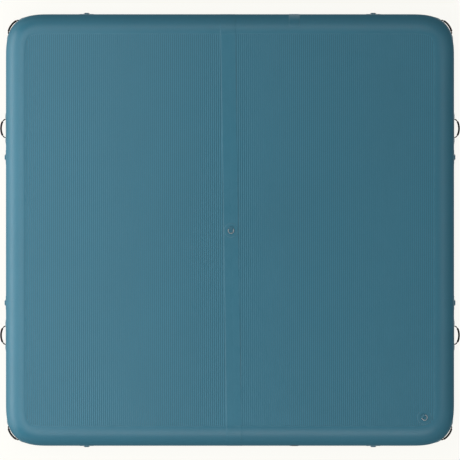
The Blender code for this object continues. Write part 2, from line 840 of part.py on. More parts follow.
def make_valve(wall, materials):
    """A valve whose axis points out of the front rail at mid height."""
    axis = frame_at((VALVE_X, -HALF_WIDTH, RAIL_RADIUS), (0, 0, 1), (0, -1, 0))
    hole = turned(
        [
            (0, CUT_OVERRUN),
            (BARREL_RADIUS + SEAT_GAP, CUT_OVERRUN),
            (BARREL_RADIUS + SEAT_GAP, -BARREL_DEPTH),
            (0, -BARREL_DEPTH),
        ]
    )
    combine(wall, make_cutter("valve_hole", hole, axis), "DIFFERENCE")

    floor_under = -BOWL_DEPTH - FLOOR_THICKNESS
    guide = STEM_RADIUS + RUNNING_CLEARANCE
    barrel = turned(
        [
            (BARREL_RADIUS, FLANGE_PROUD),
            (BARREL_RADIUS, -BARREL_DEPTH),
            (SEAT_RADIUS, -BARREL_DEPTH),
            (SEAT_RADIUS, floor_under),
            (guide, floor_under),
            (guide, -BOWL_DEPTH),
            (BOWL_RADIUS, -BOWL_DEPTH),
            (BOWL_RADIUS, -MOUTH_DEPTH),
            (MOUTH_RADIUS, -MOUTH_DEPTH),
            (MOUTH_RADIUS, FLANGE_PROUD),
        ]
    )
    body = make_object("valve_body", barrel, materials["valve"], axis)
    lip = (MOUTH_RADIUS + BARREL_RADIUS) / 2
    flange = saddle_ring(lip, FLANGE_RADIUS, FLANGE_PROUD - TAB_SINK, SEAT_GAP)
    combine(body, make_cutter("valve_flange", flange), "UNION")
    air = bmesh.new()
    for place in circle_points(AIR_HOLE_CIRCLE, steps=AIR_HOLES):
        bmesh.ops.create_cone(
            air,
            cap_ends=True,
            segments=8,
            radius1=AIR_HOLE_RADIUS,
            radius2=AIR_HOLE_RADIUS,
            depth=FLOOR_THICKNESS + CUT_OVERRUN,
            matrix=Matrix.Translation((*place, floor_under + FLOOR_THICKNESS / 2)),
        )
    combine(body, make_cutter("valve_air_holes", air, axis), "DIFFERENCE")

    nut = saddle_ring(
        BARREL_RADIUS + SEAT_GAP, NUT_RADIUS, -NUT_DEPTH, -WALL_THICKNESS - SEAT_GAP
    )
    make_object("valve_backing_nut", nut, materials["valve"])

    seal_top = -BARREL_DEPTH - SEAT_GAP
    seal_under = seal_top - SEAL_THICKNESS
    poppet_top = seal_under - SEAT_GAP
    seal = [
        (POPPET_RADIUS, seal_top),
        (POPPET_RADIUS, seal_under),
        (SEAL_INNER_RADIUS, seal_under),
        (SEAL_INNER_RADIUS, seal_top),
    ]
    make_object("valve_seal", turned(seal), materials["rubber"], axis)
    stem = [
        (0, -STEM_HEAD_DEPTH),
        (STEM_HEAD_RADIUS, -STEM_HEAD_DEPTH),
        (STEM_HEAD_RADIUS, -STEM_HEAD_DEPTH - STEM_HEAD_THICKNESS),
        (STEM_RADIUS, -STEM_HEAD_DEPTH - STEM_HEAD_THICKNESS),
        (STEM_RADIUS, poppet_top),
        (POPPET_RADIUS, poppet_top),
        (POPPET_RADIUS, poppet_top - POPPET_THICKNESS),
        (0, poppet_top - POPPET_THICKNESS),
    ]
    make_object("valve_stem", turned(stem[::-1]), materials["valve"], axis)

    top = -STEM_HEAD_DEPTH - STEM_HEAD_THICKNESS - SEAT_GAP - SPRING_WIRE / 2
    bottom = -BOWL_DEPTH + SEAT_GAP + SPRING_WIRE / 2
    coil = []
    for step in range(SPRING_TURNS * SPRING_STEPS + 1):
        turn = 2 * math.pi * step / SPRING_STEPS
        share = step / (SPRING_TURNS * SPRING_STEPS)
        coil.append(
            Vector(
                (
                    SPRING_RADIUS * math.cos(turn),
                    SPRING_RADIUS * math.sin(turn),
                    bottom + (top - bottom) * share,
                )
            )
        )
    make_object("valve_spring", tube(coil, SPRING_WIRE / 2, 5), materials["steel"], axis)

    plug = MOUTH_RADIUS - RUNNING_CLEARANCE
    washer_under = -MOUTH_DEPTH + SEAT_GAP
    washer_top = washer_under + CAP_SEAL_THICKNESS
    washer = [
        (plug, washer_top),
        (plug, washer_under),
        (CAP_SEAL_INNER_RADIUS, washer_under),
        (CAP_SEAL_INNER_RADIUS, washer_top),
    ]
    make_object("valve_cap_seal", turned(washer), materials["rubber"], axis)
    cap = turned(
        [
            (0, FLANGE_PROUD),
            (plug, FLANGE_PROUD),
            (plug, washer_top + SEAT_GAP),
            (0, washer_top + SEAT_GAP),
        ][::-1]
    )
    cap = make_object("valve_cap", cap, materials["valve"], axis)
    pockets = turned(
        [
            (0, CUT_OVERRUN),
            (CAP_POCKET_RADIUS, CUT_OVERRUN),
            (CAP_POCKET_RADIUS, FLANGE_PROUD - CAP_POCKET_DEPTH),
            (0, FLANGE_PROUD - CAP_POCKET_DEPTH),
        ][::-1]
    )
    geometry = pockets.verts[:] + pockets.edges[:] + pockets.faces[:]
    bmesh.ops.bisect_plane(
        pockets,
        geom=geometry,
        plane_co=(CAP_BAR_WIDTH / 2, 0, 0),
        plane_no=(-1, 0, 0),
        clear_outer=True,
    )
    bmesh.ops.holes_fill(pockets, edges=[edge for edge in pockets.edges if edge.is_boundary])
    half = make_cutter("valve_cap_pocket_right", pockets, axis)
    combine(cap, half, "DIFFERENCE")
    other = half.copy()
    other.name = "valve_cap_pocket_left"
    other.matrix_world = axis @ Matrix.Rotation(math.pi, 4, "Z")
    bpy.context.scene.collection.objects.link(other)
    combine(cap, other, "DIFFERENCE")


def main():
    for old in list(bpy.data.objects):
        bpy.data.objects.remove(old)

    materials = {
        "panel": make_material("deck fabric", (73, 116, 133), 0.5),
        "wall": make_material("rail fabric", (66, 113, 131), 0.38),
        "tape": make_material("seam tape", (62, 110, 130), 0.42),
        "patch": make_material("patch fabric", (58, 104, 122), 0.45),
        "yarn": make_material("polyester yarn", (225, 225, 220), 0.8),
        "webbing": make_material("black webbing", (22, 22, 24), 0.85),
        "grip": make_material("grip rubber", (30, 30, 32), 0.7),
        "steel": make_material("stainless steel", (190, 192, 194), 0.25, 1.0),
        "valve": make_material("valve plastic", (58, 62, 66), 0.45),
        "rubber": make_material("seal rubber", (18, 18, 18), 0.8),
    }

    bottom_low = PANEL_SKIN
    deck_low = BODY_HEIGHT - PANEL_SKIN - PANEL_THICKNESS
    for label, side in (("left", -1), ("right", 1)):
        make_panel(f"deck_panel_{label}", side, deck_low, materials["panel"])
        make_panel(f"bottom_panel_{label}", side, bottom_low, materials["panel"])
    deck_top = BODY_HEIGHT - PANEL_SKIN
    make_seam_tape("deck_seam_tape", deck_top + SEAT_GAP, materials["tape"])
    make_seam_tape("bottom_seam_tape", PANEL_SKIN - SEAT_GAP - TAPE_THICKNESS, materials["tape"])
    wall = make_side_wall(materials["wall"], materials["tape"])
    make_yarns(materials["yarn"])

    tape_top = deck_top + SEAT_GAP + TAPE_THICKNESS
    make_deck_ring(
        "centre_ring", seam_x(CENTRE_RING_Y), CENTRE_RING_Y, (0, -1), tape_top, materials
    )
    corner_x, corner_y = corner_ring_place()
    make_deck_ring("corner_ring", corner_x, corner_y, (1, -1), deck_top, materials)
    for label, side, ahead in (
        ("right_back", RIGHT_SIDE, SIDE_RING_Y),
        ("right_front", RIGHT_SIDE, -SIDE_RING_Y),
        ("back_right", BACK_SIDE, -SIDE_RING_X),
        ("back_left", BACK_SIDE, SIDE_RING_X),
        ("left_back", LEFT_SIDE, -SIDE_RING_Y),
        ("left_front", LEFT_SIDE, SIDE_RING_Y),
        ("front_left", FRONT_SIDE, -SIDE_RING_X),
        ("front_right", FRONT_SIDE, SIDE_RING_X),
    ):
        make_side_ring(f"ring_{label}", side, ahead, materials)

    for label, side, ahead in (
        ("right_back", RIGHT_SIDE, SIDE_HANDLE_Y_BACK),
        ("right_front", RIGHT_SIDE, SIDE_HANDLE_Y_FRONT),
        ("left_back", LEFT_SIDE, -SIDE_HANDLE_Y_BACK),
        ("left_front", LEFT_SIDE, -SIDE_HANDLE_Y_FRONT),
    ):
        station = side_station(side, ahead)
        make_handle(
            f"handle_{label}", station, SIDE_HANDLE_SPAN, SIDE_HANDLE_REACH, materials
        )
    for quarter, label in enumerate(("back_right", "back_left", "front_left", "front_right")):
        make_handle(
            f"corner_handle_{label}",
            corner_station(quarter),
            CORNER_HANDLE_SPAN,
            CORNER_HANDLE_REACH,
            materials,
        )
    make_valve(wall, materials)


main()
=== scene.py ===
"""Looks of an inflatable dock platform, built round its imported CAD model.

The float's fabric skins, patches, webbing, grips, rings and valve are smooth, finely
modelled pieces with node-based materials. They lie where the CAD's facets lie. X runs
along the float's longer side, Y towards its back, and Z up.
"""

import json
import math

import bpy
import numpy as np
from mathutils import Matrix, Vector


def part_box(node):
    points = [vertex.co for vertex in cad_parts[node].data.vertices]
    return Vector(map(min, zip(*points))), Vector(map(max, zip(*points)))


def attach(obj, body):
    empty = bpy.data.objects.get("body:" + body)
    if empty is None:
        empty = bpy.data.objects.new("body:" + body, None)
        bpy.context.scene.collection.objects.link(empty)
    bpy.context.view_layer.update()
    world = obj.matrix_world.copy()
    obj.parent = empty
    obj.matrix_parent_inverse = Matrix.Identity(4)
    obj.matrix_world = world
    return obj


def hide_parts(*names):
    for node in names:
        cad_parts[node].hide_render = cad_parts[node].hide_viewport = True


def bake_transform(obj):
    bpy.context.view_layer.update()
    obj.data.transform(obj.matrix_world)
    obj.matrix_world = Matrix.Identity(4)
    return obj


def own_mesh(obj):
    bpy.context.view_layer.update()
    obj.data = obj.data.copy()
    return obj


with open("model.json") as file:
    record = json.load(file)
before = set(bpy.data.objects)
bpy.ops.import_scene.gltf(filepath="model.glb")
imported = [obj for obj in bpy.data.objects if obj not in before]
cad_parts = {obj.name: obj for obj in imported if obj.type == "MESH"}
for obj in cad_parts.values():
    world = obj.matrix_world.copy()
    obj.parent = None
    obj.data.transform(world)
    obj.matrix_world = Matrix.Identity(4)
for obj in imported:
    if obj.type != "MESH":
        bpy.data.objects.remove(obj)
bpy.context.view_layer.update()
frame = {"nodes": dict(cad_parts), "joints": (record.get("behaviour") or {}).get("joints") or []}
JOINTS = {joint["name"]: joint for joint in frame["joints"]}


def swinging(start):
    """What swings, of the pieces whose names start like this."""
    return [name.removesuffix("_swing") for name in JOINTS if name.startswith(start)]


# The float's outline and rail
HALF_LENGTH, HALF_WIDTH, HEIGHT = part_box("side_wall")[1]
RAIL = HEIGHT / 2
CORNER_REACH = 0.245
CORNER_FULLNESS_SHARE = 0.794
CORNER_POWER = math.log(2) / -math.log(CORNER_FULLNESS_SHARE)
CORNER_DUAL = CORNER_POWER / (CORNER_POWER - 1)
QUARTER_STEPS = 720
SIDE_X, SIDE_Y = HALF_LENGTH - CORNER_REACH, HALF_WIDTH - CORNER_REACH
ROUND = math.pi / 2 * RAIL  # from mid height to where the rail turns flat

# Skins
FABRIC = 0.0012
SEAT = 0.0003
LAP_INSET = 0.1108
PANEL_INSET = 0.094
PANEL_TOP = HEIGHT - FABRIC - SEAT
FEATHER = 0.005  # how far a glued edge thins out
LAP_FEATHER = 0.012
EDGE = 0.00015  # how thick it still is there
EDGE_STEPS = (0, 0.0004, 0.0012, 0.0022, 0.0034, 0.005, 0.0065, 0.0085, 0.0105, 0.0145)
WORN_REACH = 0.004
DISC_HOLE = 0.00003  # where a disc's circles end, too small to see
RIB_PITCH = 0.010947
RIB_AT = -1.0299  # one of the ridges
RIB_HEIGHT, RIB_RISE = 0.0009, 0.0002  # in all, and above the cloth's face
RIB_STEPS, PANEL_ROWS, SEAM_COLUMNS = 8, 61, 3
FINE_RIGHT, FINE_LEFT = 0.026, 0.016  # where a panel's fine columns begin beside the seam
SEAM_BACK, SEAM_FRONT = -0.012, 0.023
TAPE_WIDTH = 0.083
SEAM_DIP, SEAM_DIP_WIDTH = 0.00022, 0.0025
JOINT_STRAP_X = 0.35
JOINT_STRAP_LENGTH, JOINT_STRAP_REACH = 0.06, 0.125

# D-rings
WIRE = 0.002
RING_SPAN, RING_LEG, RING_FILLET = 0.0145, 0.008, 0.0042
PATCH_RADIUS, PATCH_THICKNESS, PATCH_AHEAD = 0.039, 0.001, 0.006
PATCH_FEATHER = 0.0045
RIM_GROOVE, RIM_GROOVE_AT, RIM_GROOVE_WIDTH = 0.00018, 0.0065, 0.0009
BAR_HEIGHT = 0.0029
WELD_RISE_SHARE, WELD_REACH, HEAT_REACH = 0.09, 0.0016, 0.004
TAB_WIDTH, TAB_THICKNESS, TAB_TAIL = 0.022, 0.0012, 0.015
TAB_STITCH, TAB_STITCH_ROWS = 0.0016, (-0.0095, -0.0118, -0.0138)
SIDE_RING_RISE = -0.0021
DECK_RINGS = ("centre_ring", "corner_ring")
SIDE_RINGS = swinging("ring_")

# Handles
STRAP_THICKNESS, STRAP_WIDTH, STRAP_TAIL = 0.0025, 0.024, 0.024
STRAP_FREE, STRAP_FLAT = 0.0056, 0.0012  # how thick it is between grip and wall, and sewn down
TAIL_END = 0.0016  # how far from the loop's foot its sewn tail ends
SIDE_HANDLES, CORNER_HANDLES = swinging("handle_"), swinging("corner_handle_")
SIDE_SPAN, SIDE_REACH = 0.102, 0.0323
CORNER_SPAN, CORNER_LOOP_REACH = 0.094, 0.0148
GRIP_WALL, GRIP_SHARE = 0.0036, 0.55
GROOVE, GROOVES = 0.00022, 11  # their depth, and how many fit a grip's whole length
BOX_NEAR, BOX_FAR, BOX_SIDE, BOX_STITCH = 0.0065, 0.002, 0.0028, 0.0027
ANCHOR_LENGTH, ANCHOR_HEIGHT, ANCHOR_CORNER = 0.176, 0.066, 0.016
ANCHOR_RAMP, ANCHOR_ROOM = 0.010, 0.0009
ANCHOR_EDGE = np.array([0, 0.0004, 0.0011, 0.002, 0.0032, 0.0048, 0.007])
SLOT_BEFORE, SLOT_AFTER = 0.0016, 0.0034  # from the strap's near face, and from its middle

# Valve
VALVE_X = 0.35
FLANGE_RADIUS, FLANGE_PROUD = 0.024, 0.001
BARREL_RADIUS, BARREL_DEPTH, BARREL_BORE = 0.018, 0.032, 0.0105
STEM_HOLE, VALVE_ROUND = 0.0029, 0.0005
MOUTH_RADIUS, MOUTH_DEPTH = 0.0145, 0.007
BOWL_RADIUS, BOWL_DEPTH, BOWL_FLOOR = 0.0125, 0.020, 0.003
CAP_RADIUS, CAP_PROUD, CAP_BACK = 0.0141, 0.001, 0.0051
CAP_POCKET, CAP_POCKET_DEPTH, CAP_BAR = 0.0115, 0.0035, 0.0050
CAP_RIB, CAP_RIB_PITCH, CAP_RIB_REACH, CAP_RIM = 0.00018, 0.0022, 0.0095, 0.0006
FLANGE_RIM, FLANGE_GROOVE, FLANGE_GROOVE_AT = 0.0012, 0.00035, 0.0205
SPRING_RADIUS, SPRING_WIRE, SPRING_TURNS = 0.0040, 0.0008, 4


# Meshes
def unit(vectors):
    return vectors / np.linalg.norm(vectors, axis=-1, keepdims=True)


def full_turn(steps):
    """Angles round a circle, from 0."""
    return np.linspace(0, 2 * math.pi, steps, endpoint=False)


def mirrored(values):
    """Rising values from 0, with the same below 0 before them."""
    return np.concatenate([-values[:0:-1], values])


def crossings(rows, columns):
    """The row and the column of every crossing of a grid's lines."""
    return (index.ravel() for index in np.meshgrid(rows, columns, indexing="ij"))


def grid_faces(rows, columns, closed_rows=False, closed_columns=False):
    """Quads over a grid whose points are numbered row by row."""
    row = np.arange(rows if closed_rows else rows - 1)
    column = np.arange(columns if closed_columns else columns - 1)
    i, j = crossings(row, column)
    after_i, after_j = (i + 1) % rows, (j + 1) % columns
    corners = (i * columns + j, after_i * columns + j)
    corners += (after_i * columns + after_j, i * columns + after_j)
    return np.stack(corners, axis=1)


def grid_uvs(rows, columns, across, along):
    """The grid's faces' corners in metres. Across and along have a value for each line."""
    i, j = crossings(np.arange(rows), np.arange(columns))
    corners = [(i, j), (i + 1, j), (i + 1, j + 1), (i, j + 1)]
    return np.stack([np.stack([across[a], along[b]], axis=1) for a, b in corners], axis=1)


def open_edges(faces):
    """Each edge that only one face has, in the direction in which its face has it."""
    starts = faces.ravel()
    ends = np.roll(faces, -1, axis=1).ravel()
    count = int(faces.max()) + 1
    keys = np.minimum(starts, ends) * count + np.maximum(starts, ends)
    _, first, times = np.unique(keys, return_index=True, return_counts=True)
    lone = first[times == 1]
    return np.stack([starts[lone], ends[lone]], axis=1)


def thicken(faces, uvs, low, high):
    """Closes a sheet of faces into a solid between its low and its high points."""
    count = len(low)
    start, stop = open_edges(faces).T
    walls = np.column_stack([start + count, start, stop, stop + count])
    where = np.zeros((count, 2))
    where[faces.ravel()] = uvs.reshape(-1, 2)
    skin = np.concatenate([faces + count, faces[:, ::-1], walls])
    wall_uvs = where[np.column_stack([start, start, stop, stop])]
    return np.concatenate([low, high]), skin, np.concatenate([uvs, uvs[:, ::-1], wall_uvs])


def outward(points, faces):
    """The faces, turned round if they enclose a negative volume."""
    a, b, c, d = (points[faces[:, corner]] for corner in range(4))
    volume = np.einsum("ij,ij->i", a, np.cross(b, c)).sum()
    volume += np.einsum("ij,ij->i", a, np.cross(c, d)).sum()
    return faces if volume > 0 else faces[:, ::-1]


def add_object(name, data):
    item = bpy.data.objects.new(name, data)
    bpy.context.scene.collection.objects.link(item)
    return item


def make_piece(name, shape, material, body="float", in_cad=True, sharp=50, marks=None):
    """Makes one named piece from (points, quads, UVs), hides the CAD node of that name and hangs the
    piece on its body.
    """
    points, faces, uvs = shape
    turned = outward(points, faces)
    if turned is not faces:
        uvs = uvs[:, ::-1]
    mesh = bpy.data.meshes.new(name)
    mesh.from_pydata(points.tolist(), [], turned.tolist())
    layer = mesh.uv_layers.new(name="Lay")
    layer.data.foreach_set("uv", uvs.astype(np.float32).ravel())
    for mark, values in (marks or {}).items():
        attribute = mesh.attributes.new(mark, "FLOAT", "POINT")
        attribute.data.foreach_set("value", values.astype(np.float32))
    mesh.validate()
    mesh.shade_smooth()
    mesh.set_sharp_from_angle(angle=math.radians(sharp))
    mesh.materials.append(material)
    piece = add_object(name, mesh)
    if in_cad:
        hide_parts(name)
    if body:
        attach(piece, body)
    return piece


def joined(shapes):
    """Several shapes as one."""
    points, faces, uvs, start = [], [], [], 0
    for shape in shapes:
        points.append(shape[0])
        faces.append(outward(*shape[:2]) + start)
        uvs.append(shape[2])
        start += len(shape[0])
    return np.concatenate(points), np.concatenate(faces), np.concatenate(uvs)


def sheet(faces, across, along, low, high):
    """A solid sheet between two grids of points, laid flat by two grids of lengths."""
    uvs = np.stack([across, along], axis=2).reshape(-1, 2)[faces]
    return thicken(faces, uvs, low.reshape(-1, 3), high.reshape(-1, 3))


def level_sheet(x, y, low, high, up):
    """A sheet between two heights over the deck (up 1), or mirrored under the bottom (up -1)."""
    if up < 0:
        low, high = HEIGHT - low, HEIGHT - high
    ends = (np.stack([x, y, height], axis=2) for height in (low, high))
    return sheet(grid_faces(*x.shape), x, y, *ends)


def disc_grid(radii, steps):
    """The radius and angle of each point of a grid of circles, and the grid's faces."""
    turns = full_turn(steps)
    radius, turn = np.meshgrid(radii, turns, indexing="ij")
    return radius, turn, grid_faces(*radius.shape, closed_columns=True)


def both_sides(values):
    """A mark for a sheet's low points and, the same, for its high points."""
    return np.tile(np.asarray(values, float).ravel(), 2)


def worn_edge(inside):
    """1 along a sheet's cut edge, where it is rubbed, and 0 further in."""
    return 1 - smooth_step(inside, 0, WORN_REACH)


def loft(sections, closed=False):
    """A skin over closed sections, an array of (section, point, axis), with caps."""
    sections = np.asarray(sections, float)
    rows, columns = sections.shape[:2]
    centres = sections.mean(axis=1)
    steps = np.linalg.norm(np.diff(centres, axis=0, append=centres[:1]), axis=1)
    across = np.concatenate([[0], np.cumsum(steps)])
    middle = sections[rows // 2]
    girth = np.linalg.norm(np.diff(middle, axis=0, append=middle[:1]), axis=1)
    along = np.concatenate([[0], np.cumsum(girth)])
    faces = grid_faces(rows, columns, closed, True)
    uvs = grid_uvs(rows if closed else rows - 1, columns, across, along)
    points = sections.reshape(-1, 3)
    if closed:
        return points, faces, uvs
    caps, cap_uvs, extra = [], [], []
    for row in (0, rows - 1):
        hub = len(points) + len(extra)
        extra.append(centres[row])
        ring = row * columns + np.arange(columns)
        for first in range(0, columns, 2):
            a, b, c = (ring[(first + k) % columns] for k in range(3))
            caps.append([hub, a, b, c] if row == 0 else [hub, c, b, a])
            cap_uvs.append([[across[row], 0]] * 4)
    return (
        np.concatenate([points, extra]),
        np.concatenate([faces, caps]),
        np.concatenate([uvs, np.array(cap_uvs, float)]),
    )


def lathe(profile, steps=96):
    """A closed profile of (radius, height) points turned about Z."""
    profile = np.asarray(profile, float)
    turns = full_turn(steps)
    radius = np.maximum(profile[:, :1], 1e-5)
    height = np.repeat(profile[:, 1:], steps, axis=1)
    sections = np.stack([radius * np.cos(turns), radius * np.sin(turns), height], axis=2)
    return loft(sections, closed=True)


def corner_curve(before, corner, after, reach, steps):
    """Points that round a line's corner, from reach before it to reach after it."""
    start, stop = (corner + unit(end - corner) * reach for end in (before, after))
    share = np.linspace(0, 1, steps + 1)[:, None]
    near = start + (corner - start) * share
    far = corner + (stop - corner) * share
    return near + (far - near) * share


def rounded(corners, radius, steps=4):
    """A closed polygon in the plane with its corners rounded."""
    corners = np.asarray(corners, float)
    befores, afters = np.roll(corners, 1, axis=0), np.roll(corners, -1, axis=0)
    curves = []
    for before, corner, after in zip(befores, corners, afters):
        nearest = min(np.linalg.norm(before - corner), np.linalg.norm(after - corner))
        curves.append(corner_curve(before, corner, after, min(radius, nearest / 2.2), steps))
    return np.concatenate(curves)


def smooth_step(value, start, stop):
    share = np.clip((value - start) / (stop - start), 0, 1)
    return share * share * (3 - 2 * share)


def waves(places, period, phases):
    """A gentle uneven line, between about -1 and 1, from a few sines."""
    total = 0
    for order, phase in enumerate(phases):
        total = total + np.sin(2 * math.pi * places / period * (1 + 0.73 * order) + phase)
    return total / len(phases)


# The outline
def outline_table():
    """Points and outward normals round the float, anticlockwise from the right side."""
    turn = np.linspace(0, math.pi / 2, QUARTER_STEPS + 1)
    across, up = np.clip(np.cos(turn), 0, 1), np.clip(np.sin(turn), 0, 1)
    spread = (across**CORNER_DUAL + up**CORNER_DUAL) ** (1 / CORNER_DUAL - 1)
    x = SIDE_X + CORNER_REACH * across ** (CORNER_DUAL - 1) * spread
    y = SIDE_Y + CORNER_REACH * up ** (CORNER_DUAL - 1) * spread
    first = np.stack([x, y, across, up], axis=1)
    ways = (1, 1), (-1, 1), (-1, -1), (1, -1)
    quarters = [(first * (*way, *way))[:: way[0] * way[1]] for way in ways]
    table = np.concatenate([*quarters, quarters[0][:1]])
    steps = np.linalg.norm(np.diff(table[:, :2], axis=0), axis=1)
    return table, np.concatenate([[0], np.cumsum(steps)])


OUTLINE, OUTLINE_AT = outline_table()
AROUND = OUTLINE_AT[-1]


def outline(along):
    """(point, outward normal) at distances along the outline."""
    along = np.asarray(along, float) % AROUND
    found = [np.interp(along, OUTLINE_AT, OUTLINE[:, column]) for column in range(4)]
    return np.stack(found[:2], axis=-1), unit(np.stack(found[2:], axis=-1))


def station_near(place):
    """The distance along the outline of the point nearest to a place."""
    along = np.linspace(0, AROUND, 40001)
    points, _ = outline(along)
    return along[np.argmin(np.hypot(points[:, 0] - place[0], points[:, 1] - place[1]))]


def wall_point(along, rise, offset):
    """Points on the rail, unrolled up and down from mid height, lifted off its face."""
    along, rise, offset = np.broadcast_arrays(along, rise, np.asarray(offset, float))
    turn = np.clip(rise, -ROUND, ROUND) / RAIL
    beyond = np.maximum(np.abs(rise) - ROUND, 0)
    out = (RAIL + offset) * np.cos(turn) - beyond
    height = RAIL + (RAIL + offset) * np.sin(turn)
    point, normal = outline(along)
    level = point - normal * (RAIL - out)[..., None]
    return np.concatenate([level, height[..., None]], axis=-1)


def deck_half_width(x, inset):
    """Half the deck's width at x, when its outline is drawn in by the inset."""
    corner = OUTLINE[: QUARTER_STEPS + 1]
    edge = corner[:, :2] - corner[:, 2:] * inset
    order = np.argsort(edge[:, 0])
    return np.interp(np.abs(x), edge[order, 0], edge[order, 1])


def seam_x(y):
    return SEAM_BACK + (SEAM_FRONT - SEAM_BACK) * (HALF_WIDTH - y) / (2 * HALF_WIDTH)


# Materials
class Graph:
    """Builds one material from nodes."""

    def __init__(self, name):
        self.material = bpy.data.materials.new(name)
        self.material.use_nodes = True
        self.nodes = self.material.node_tree.nodes
        self.links = self.material.node_tree.links
        self.shader = self.nodes["Principled BSDF"]

    def feed(self, socket, value):
        if isinstance(value, bpy.types.NodeSocket):
            self.links.new(value, socket)
        else:
            socket.default_value = value

    def add(self, kind, inputs=None, output=0, **settings):
        node = self.nodes.new(kind)
        for name, value in settings.items():
            setattr(node, name, value)
        for name, value in (inputs or {}).items():
            self.feed(node.inputs[name], value)
        return node.outputs[output]

    def finish(self, colour, roughness, normal, specular=0.5, metallic=0.0):
        sockets = {
            "Base Color": colour,
            "Roughness": roughness,
            "Normal": normal,
            "Specular IOR Level": specular,
            "Metallic": metallic,
        }
        for name, value in sockets.items():
            self.feed(self.shader.inputs[name], value)
        return self.material

    def place(self):
        """Coordinates in metres that ride with the piece."""
        return self.add("ShaderNodeTexCoord", output="Object")

    def lay(self):
        """The piece's own flat lay in metres."""
        return self.add("ShaderNodeUVMap", uv_map="Lay")

    def mark(self, name):
        """A mark stored on the mesh, or 0 where the piece has none."""
        return self.add("ShaderNodeAttribute", output="Fac", attribute_name=name)

    def stretch(self, place, scale):
        return self.add("ShaderNodeMapping", {"Vector": place, "Scale": scale})

    def noise(self, place, scale, detail=3.0, roughness=0.55):
        return self.add(
            "ShaderNodeTexNoise",
            {"Vector": place, "Scale": scale, "Detail": detail, "Roughness": roughness},
        )

    def math(self, operation, first, second=0.0):
        return self.add("ShaderNodeMath", {0: first, 1: second}, operation=operation)

    def times(self, first, second):
        return self.math("MULTIPLY", first, second)

    def plus(self, first, second):
        return self.math("ADD", first, second)

    def span(self, value, low, high, to_low=0.0, to_high=1.0):
        return self.add(
            "ShaderNodeMapRange",
            {
                "Value": value,
                "From Min": low,
                "From Max": high,
                "To Min": to_low,
                "To Max": to_high,
            },
        )

    def mix(self, share, first, second):
        node = self.nodes.new("ShaderNodeMix")
        node.data_type = "RGBA"
        for name, value in (("Factor", share), ("A", first), ("B", second)):
            kind = "VALUE" if name == "Factor" else "RGBA"
            socket = next(s for s in node.inputs if s.name == name and s.type == kind)
            self.feed(socket, value)
        return next(s for s in node.outputs if s.type == "RGBA")

    def veil(self, skin, value, low, high, most, colour):
        """Lays a colour over the skin as a value goes from low to high, up to a share."""
        return self.mix(self.span(value, low, high, 0.0, most), skin, colour)

    def parts(self, place):
        node = self.nodes.new("ShaderNodeSeparateXYZ")
        self.feed(node.inputs[0], place)
        return node.outputs

    def ripple(self, value, pitch):
        """A sine of a length in metres, from -1 to 1."""
        return self.math("SINE", self.times(value, 2 * math.pi / pitch))

    def bump(self, height, distance, strength=1.0, normal=None):
        inputs = {"Height": height, "Distance": distance, "Strength": strength}
        if normal is not None:
            inputs["Normal"] = normal
        return self.add("ShaderNodeBump", inputs)


def tone(colour, factor):
    return (*(channel * factor for channel in colour), 1.0)


def grey(level):
    return (level, level, level, 1.0)


TEAL = (0.0215, 0.1290, 0.1870)
GLOSS = 0.46  # how rough the coating is


def scrim(graph, place, pitch):
    """The base cloth's weave, which shows faintly through the coating."""
    x, y, _ = graph.parts(place)
    warp, weft = graph.ripple(x, pitch), graph.ripple(y, pitch)
    return graph.times(warp, weft)


def coated_fabric(name, colour, place_kind="place", ribbed=False):
    """PVC-coated cloth: calendered coating over a weave, lightly scuffed and darker along its creases
    and laps; when ribbed, with painted shade in the rib valleys.
    """
    graph = Graph(name)
    place = getattr(graph, place_kind)()
    cloud = graph.noise(place, 1.7, 4.0, 0.6)
    mottle = graph.noise(place, 23.0, 5.0, 0.6)
    streak = graph.noise(graph.stretch(place, (1.0, 0.05, 1.0)), 160.0, 3.0)
    speckle = graph.noise(place, 1300.0, 2.0)
    scratch = graph.noise(graph.stretch(place, (0.12, 1.0, 1.0)), 95.0, 6.0, 0.75)
    scuffs = graph.times(graph.span(scratch, 0.66, 0.80), graph.span(mottle, 0.52, 0.72))
    worn = graph.times(graph.mark("worn"), graph.span(mottle, 0.30, 0.75))
    crease_darkening = graph.times(graph.mark("crease"), graph.span(mottle, 0.25, 0.8))

    skin = graph.mix(graph.span(cloud, 0.3, 0.7), tone(colour, 0.955), tone(colour, 1.035))
    skin = graph.veil(skin, mottle, 0.3, 0.75, 0.35, tone(colour, 1.09))
    skin = graph.veil(skin, streak, 0.35, 0.75, 0.22, tone(colour, 0.90))
    skin = graph.veil(skin, speckle, 0.45, 0.8, 0.20, tone(colour, 1.25))
    if ribbed:
        # Painted shade: the rib valleys are coloured darker, as the ribs' own relief would shade
        # them.
        painted_valley_shade = graph.span(graph.mark("ridge"), 0.0, 0.9, 0.95, 0.0)
        skin = graph.mix(painted_valley_shade, skin, tone(colour, 0.58))
    pale = (0.21, 0.30, 0.34, 1.0)
    skin = graph.mix(graph.times(worn, 0.28), skin, pale)
    skin = graph.mix(graph.times(scuffs, 0.16), skin, pale)
    # Darker in patches where the crease mark is set: along laps and creases, under tabs and on the
    # wall's underside.
    skin = graph.mix(graph.times(crease_darkening, 0.07), skin, tone(colour, 0.62))

    rough = graph.span(mottle, 0.25, 0.75, GLOSS - 0.05, GLOSS + 0.06)
    rough = graph.plus(rough, graph.times(scuffs, 0.16))
    rough = graph.plus(rough, graph.times(worn, 0.12))
    rough = graph.plus(rough, graph.times(graph.mark("dull"), 0.42))

    normal = graph.bump(scrim(graph, place, 0.0018), 0.00005, 0.35)
    normal = graph.bump(graph.noise(place, 2200.0, 2.0), 0.00008, 0.30, normal)
    if ribbed:
        _, y, _ = graph.parts(place)
        dimples = graph.math("ABSOLUTE", graph.ripple(y, 2 * RIB_PITCH))
        normal = graph.bump(dimples, 0.0004, 0.13, normal)
    else:
        normal = graph.bump(graph.noise(place, 45.0, 3.0), 0.0006, 0.16, normal)
    return graph.finish(skin, rough, normal)


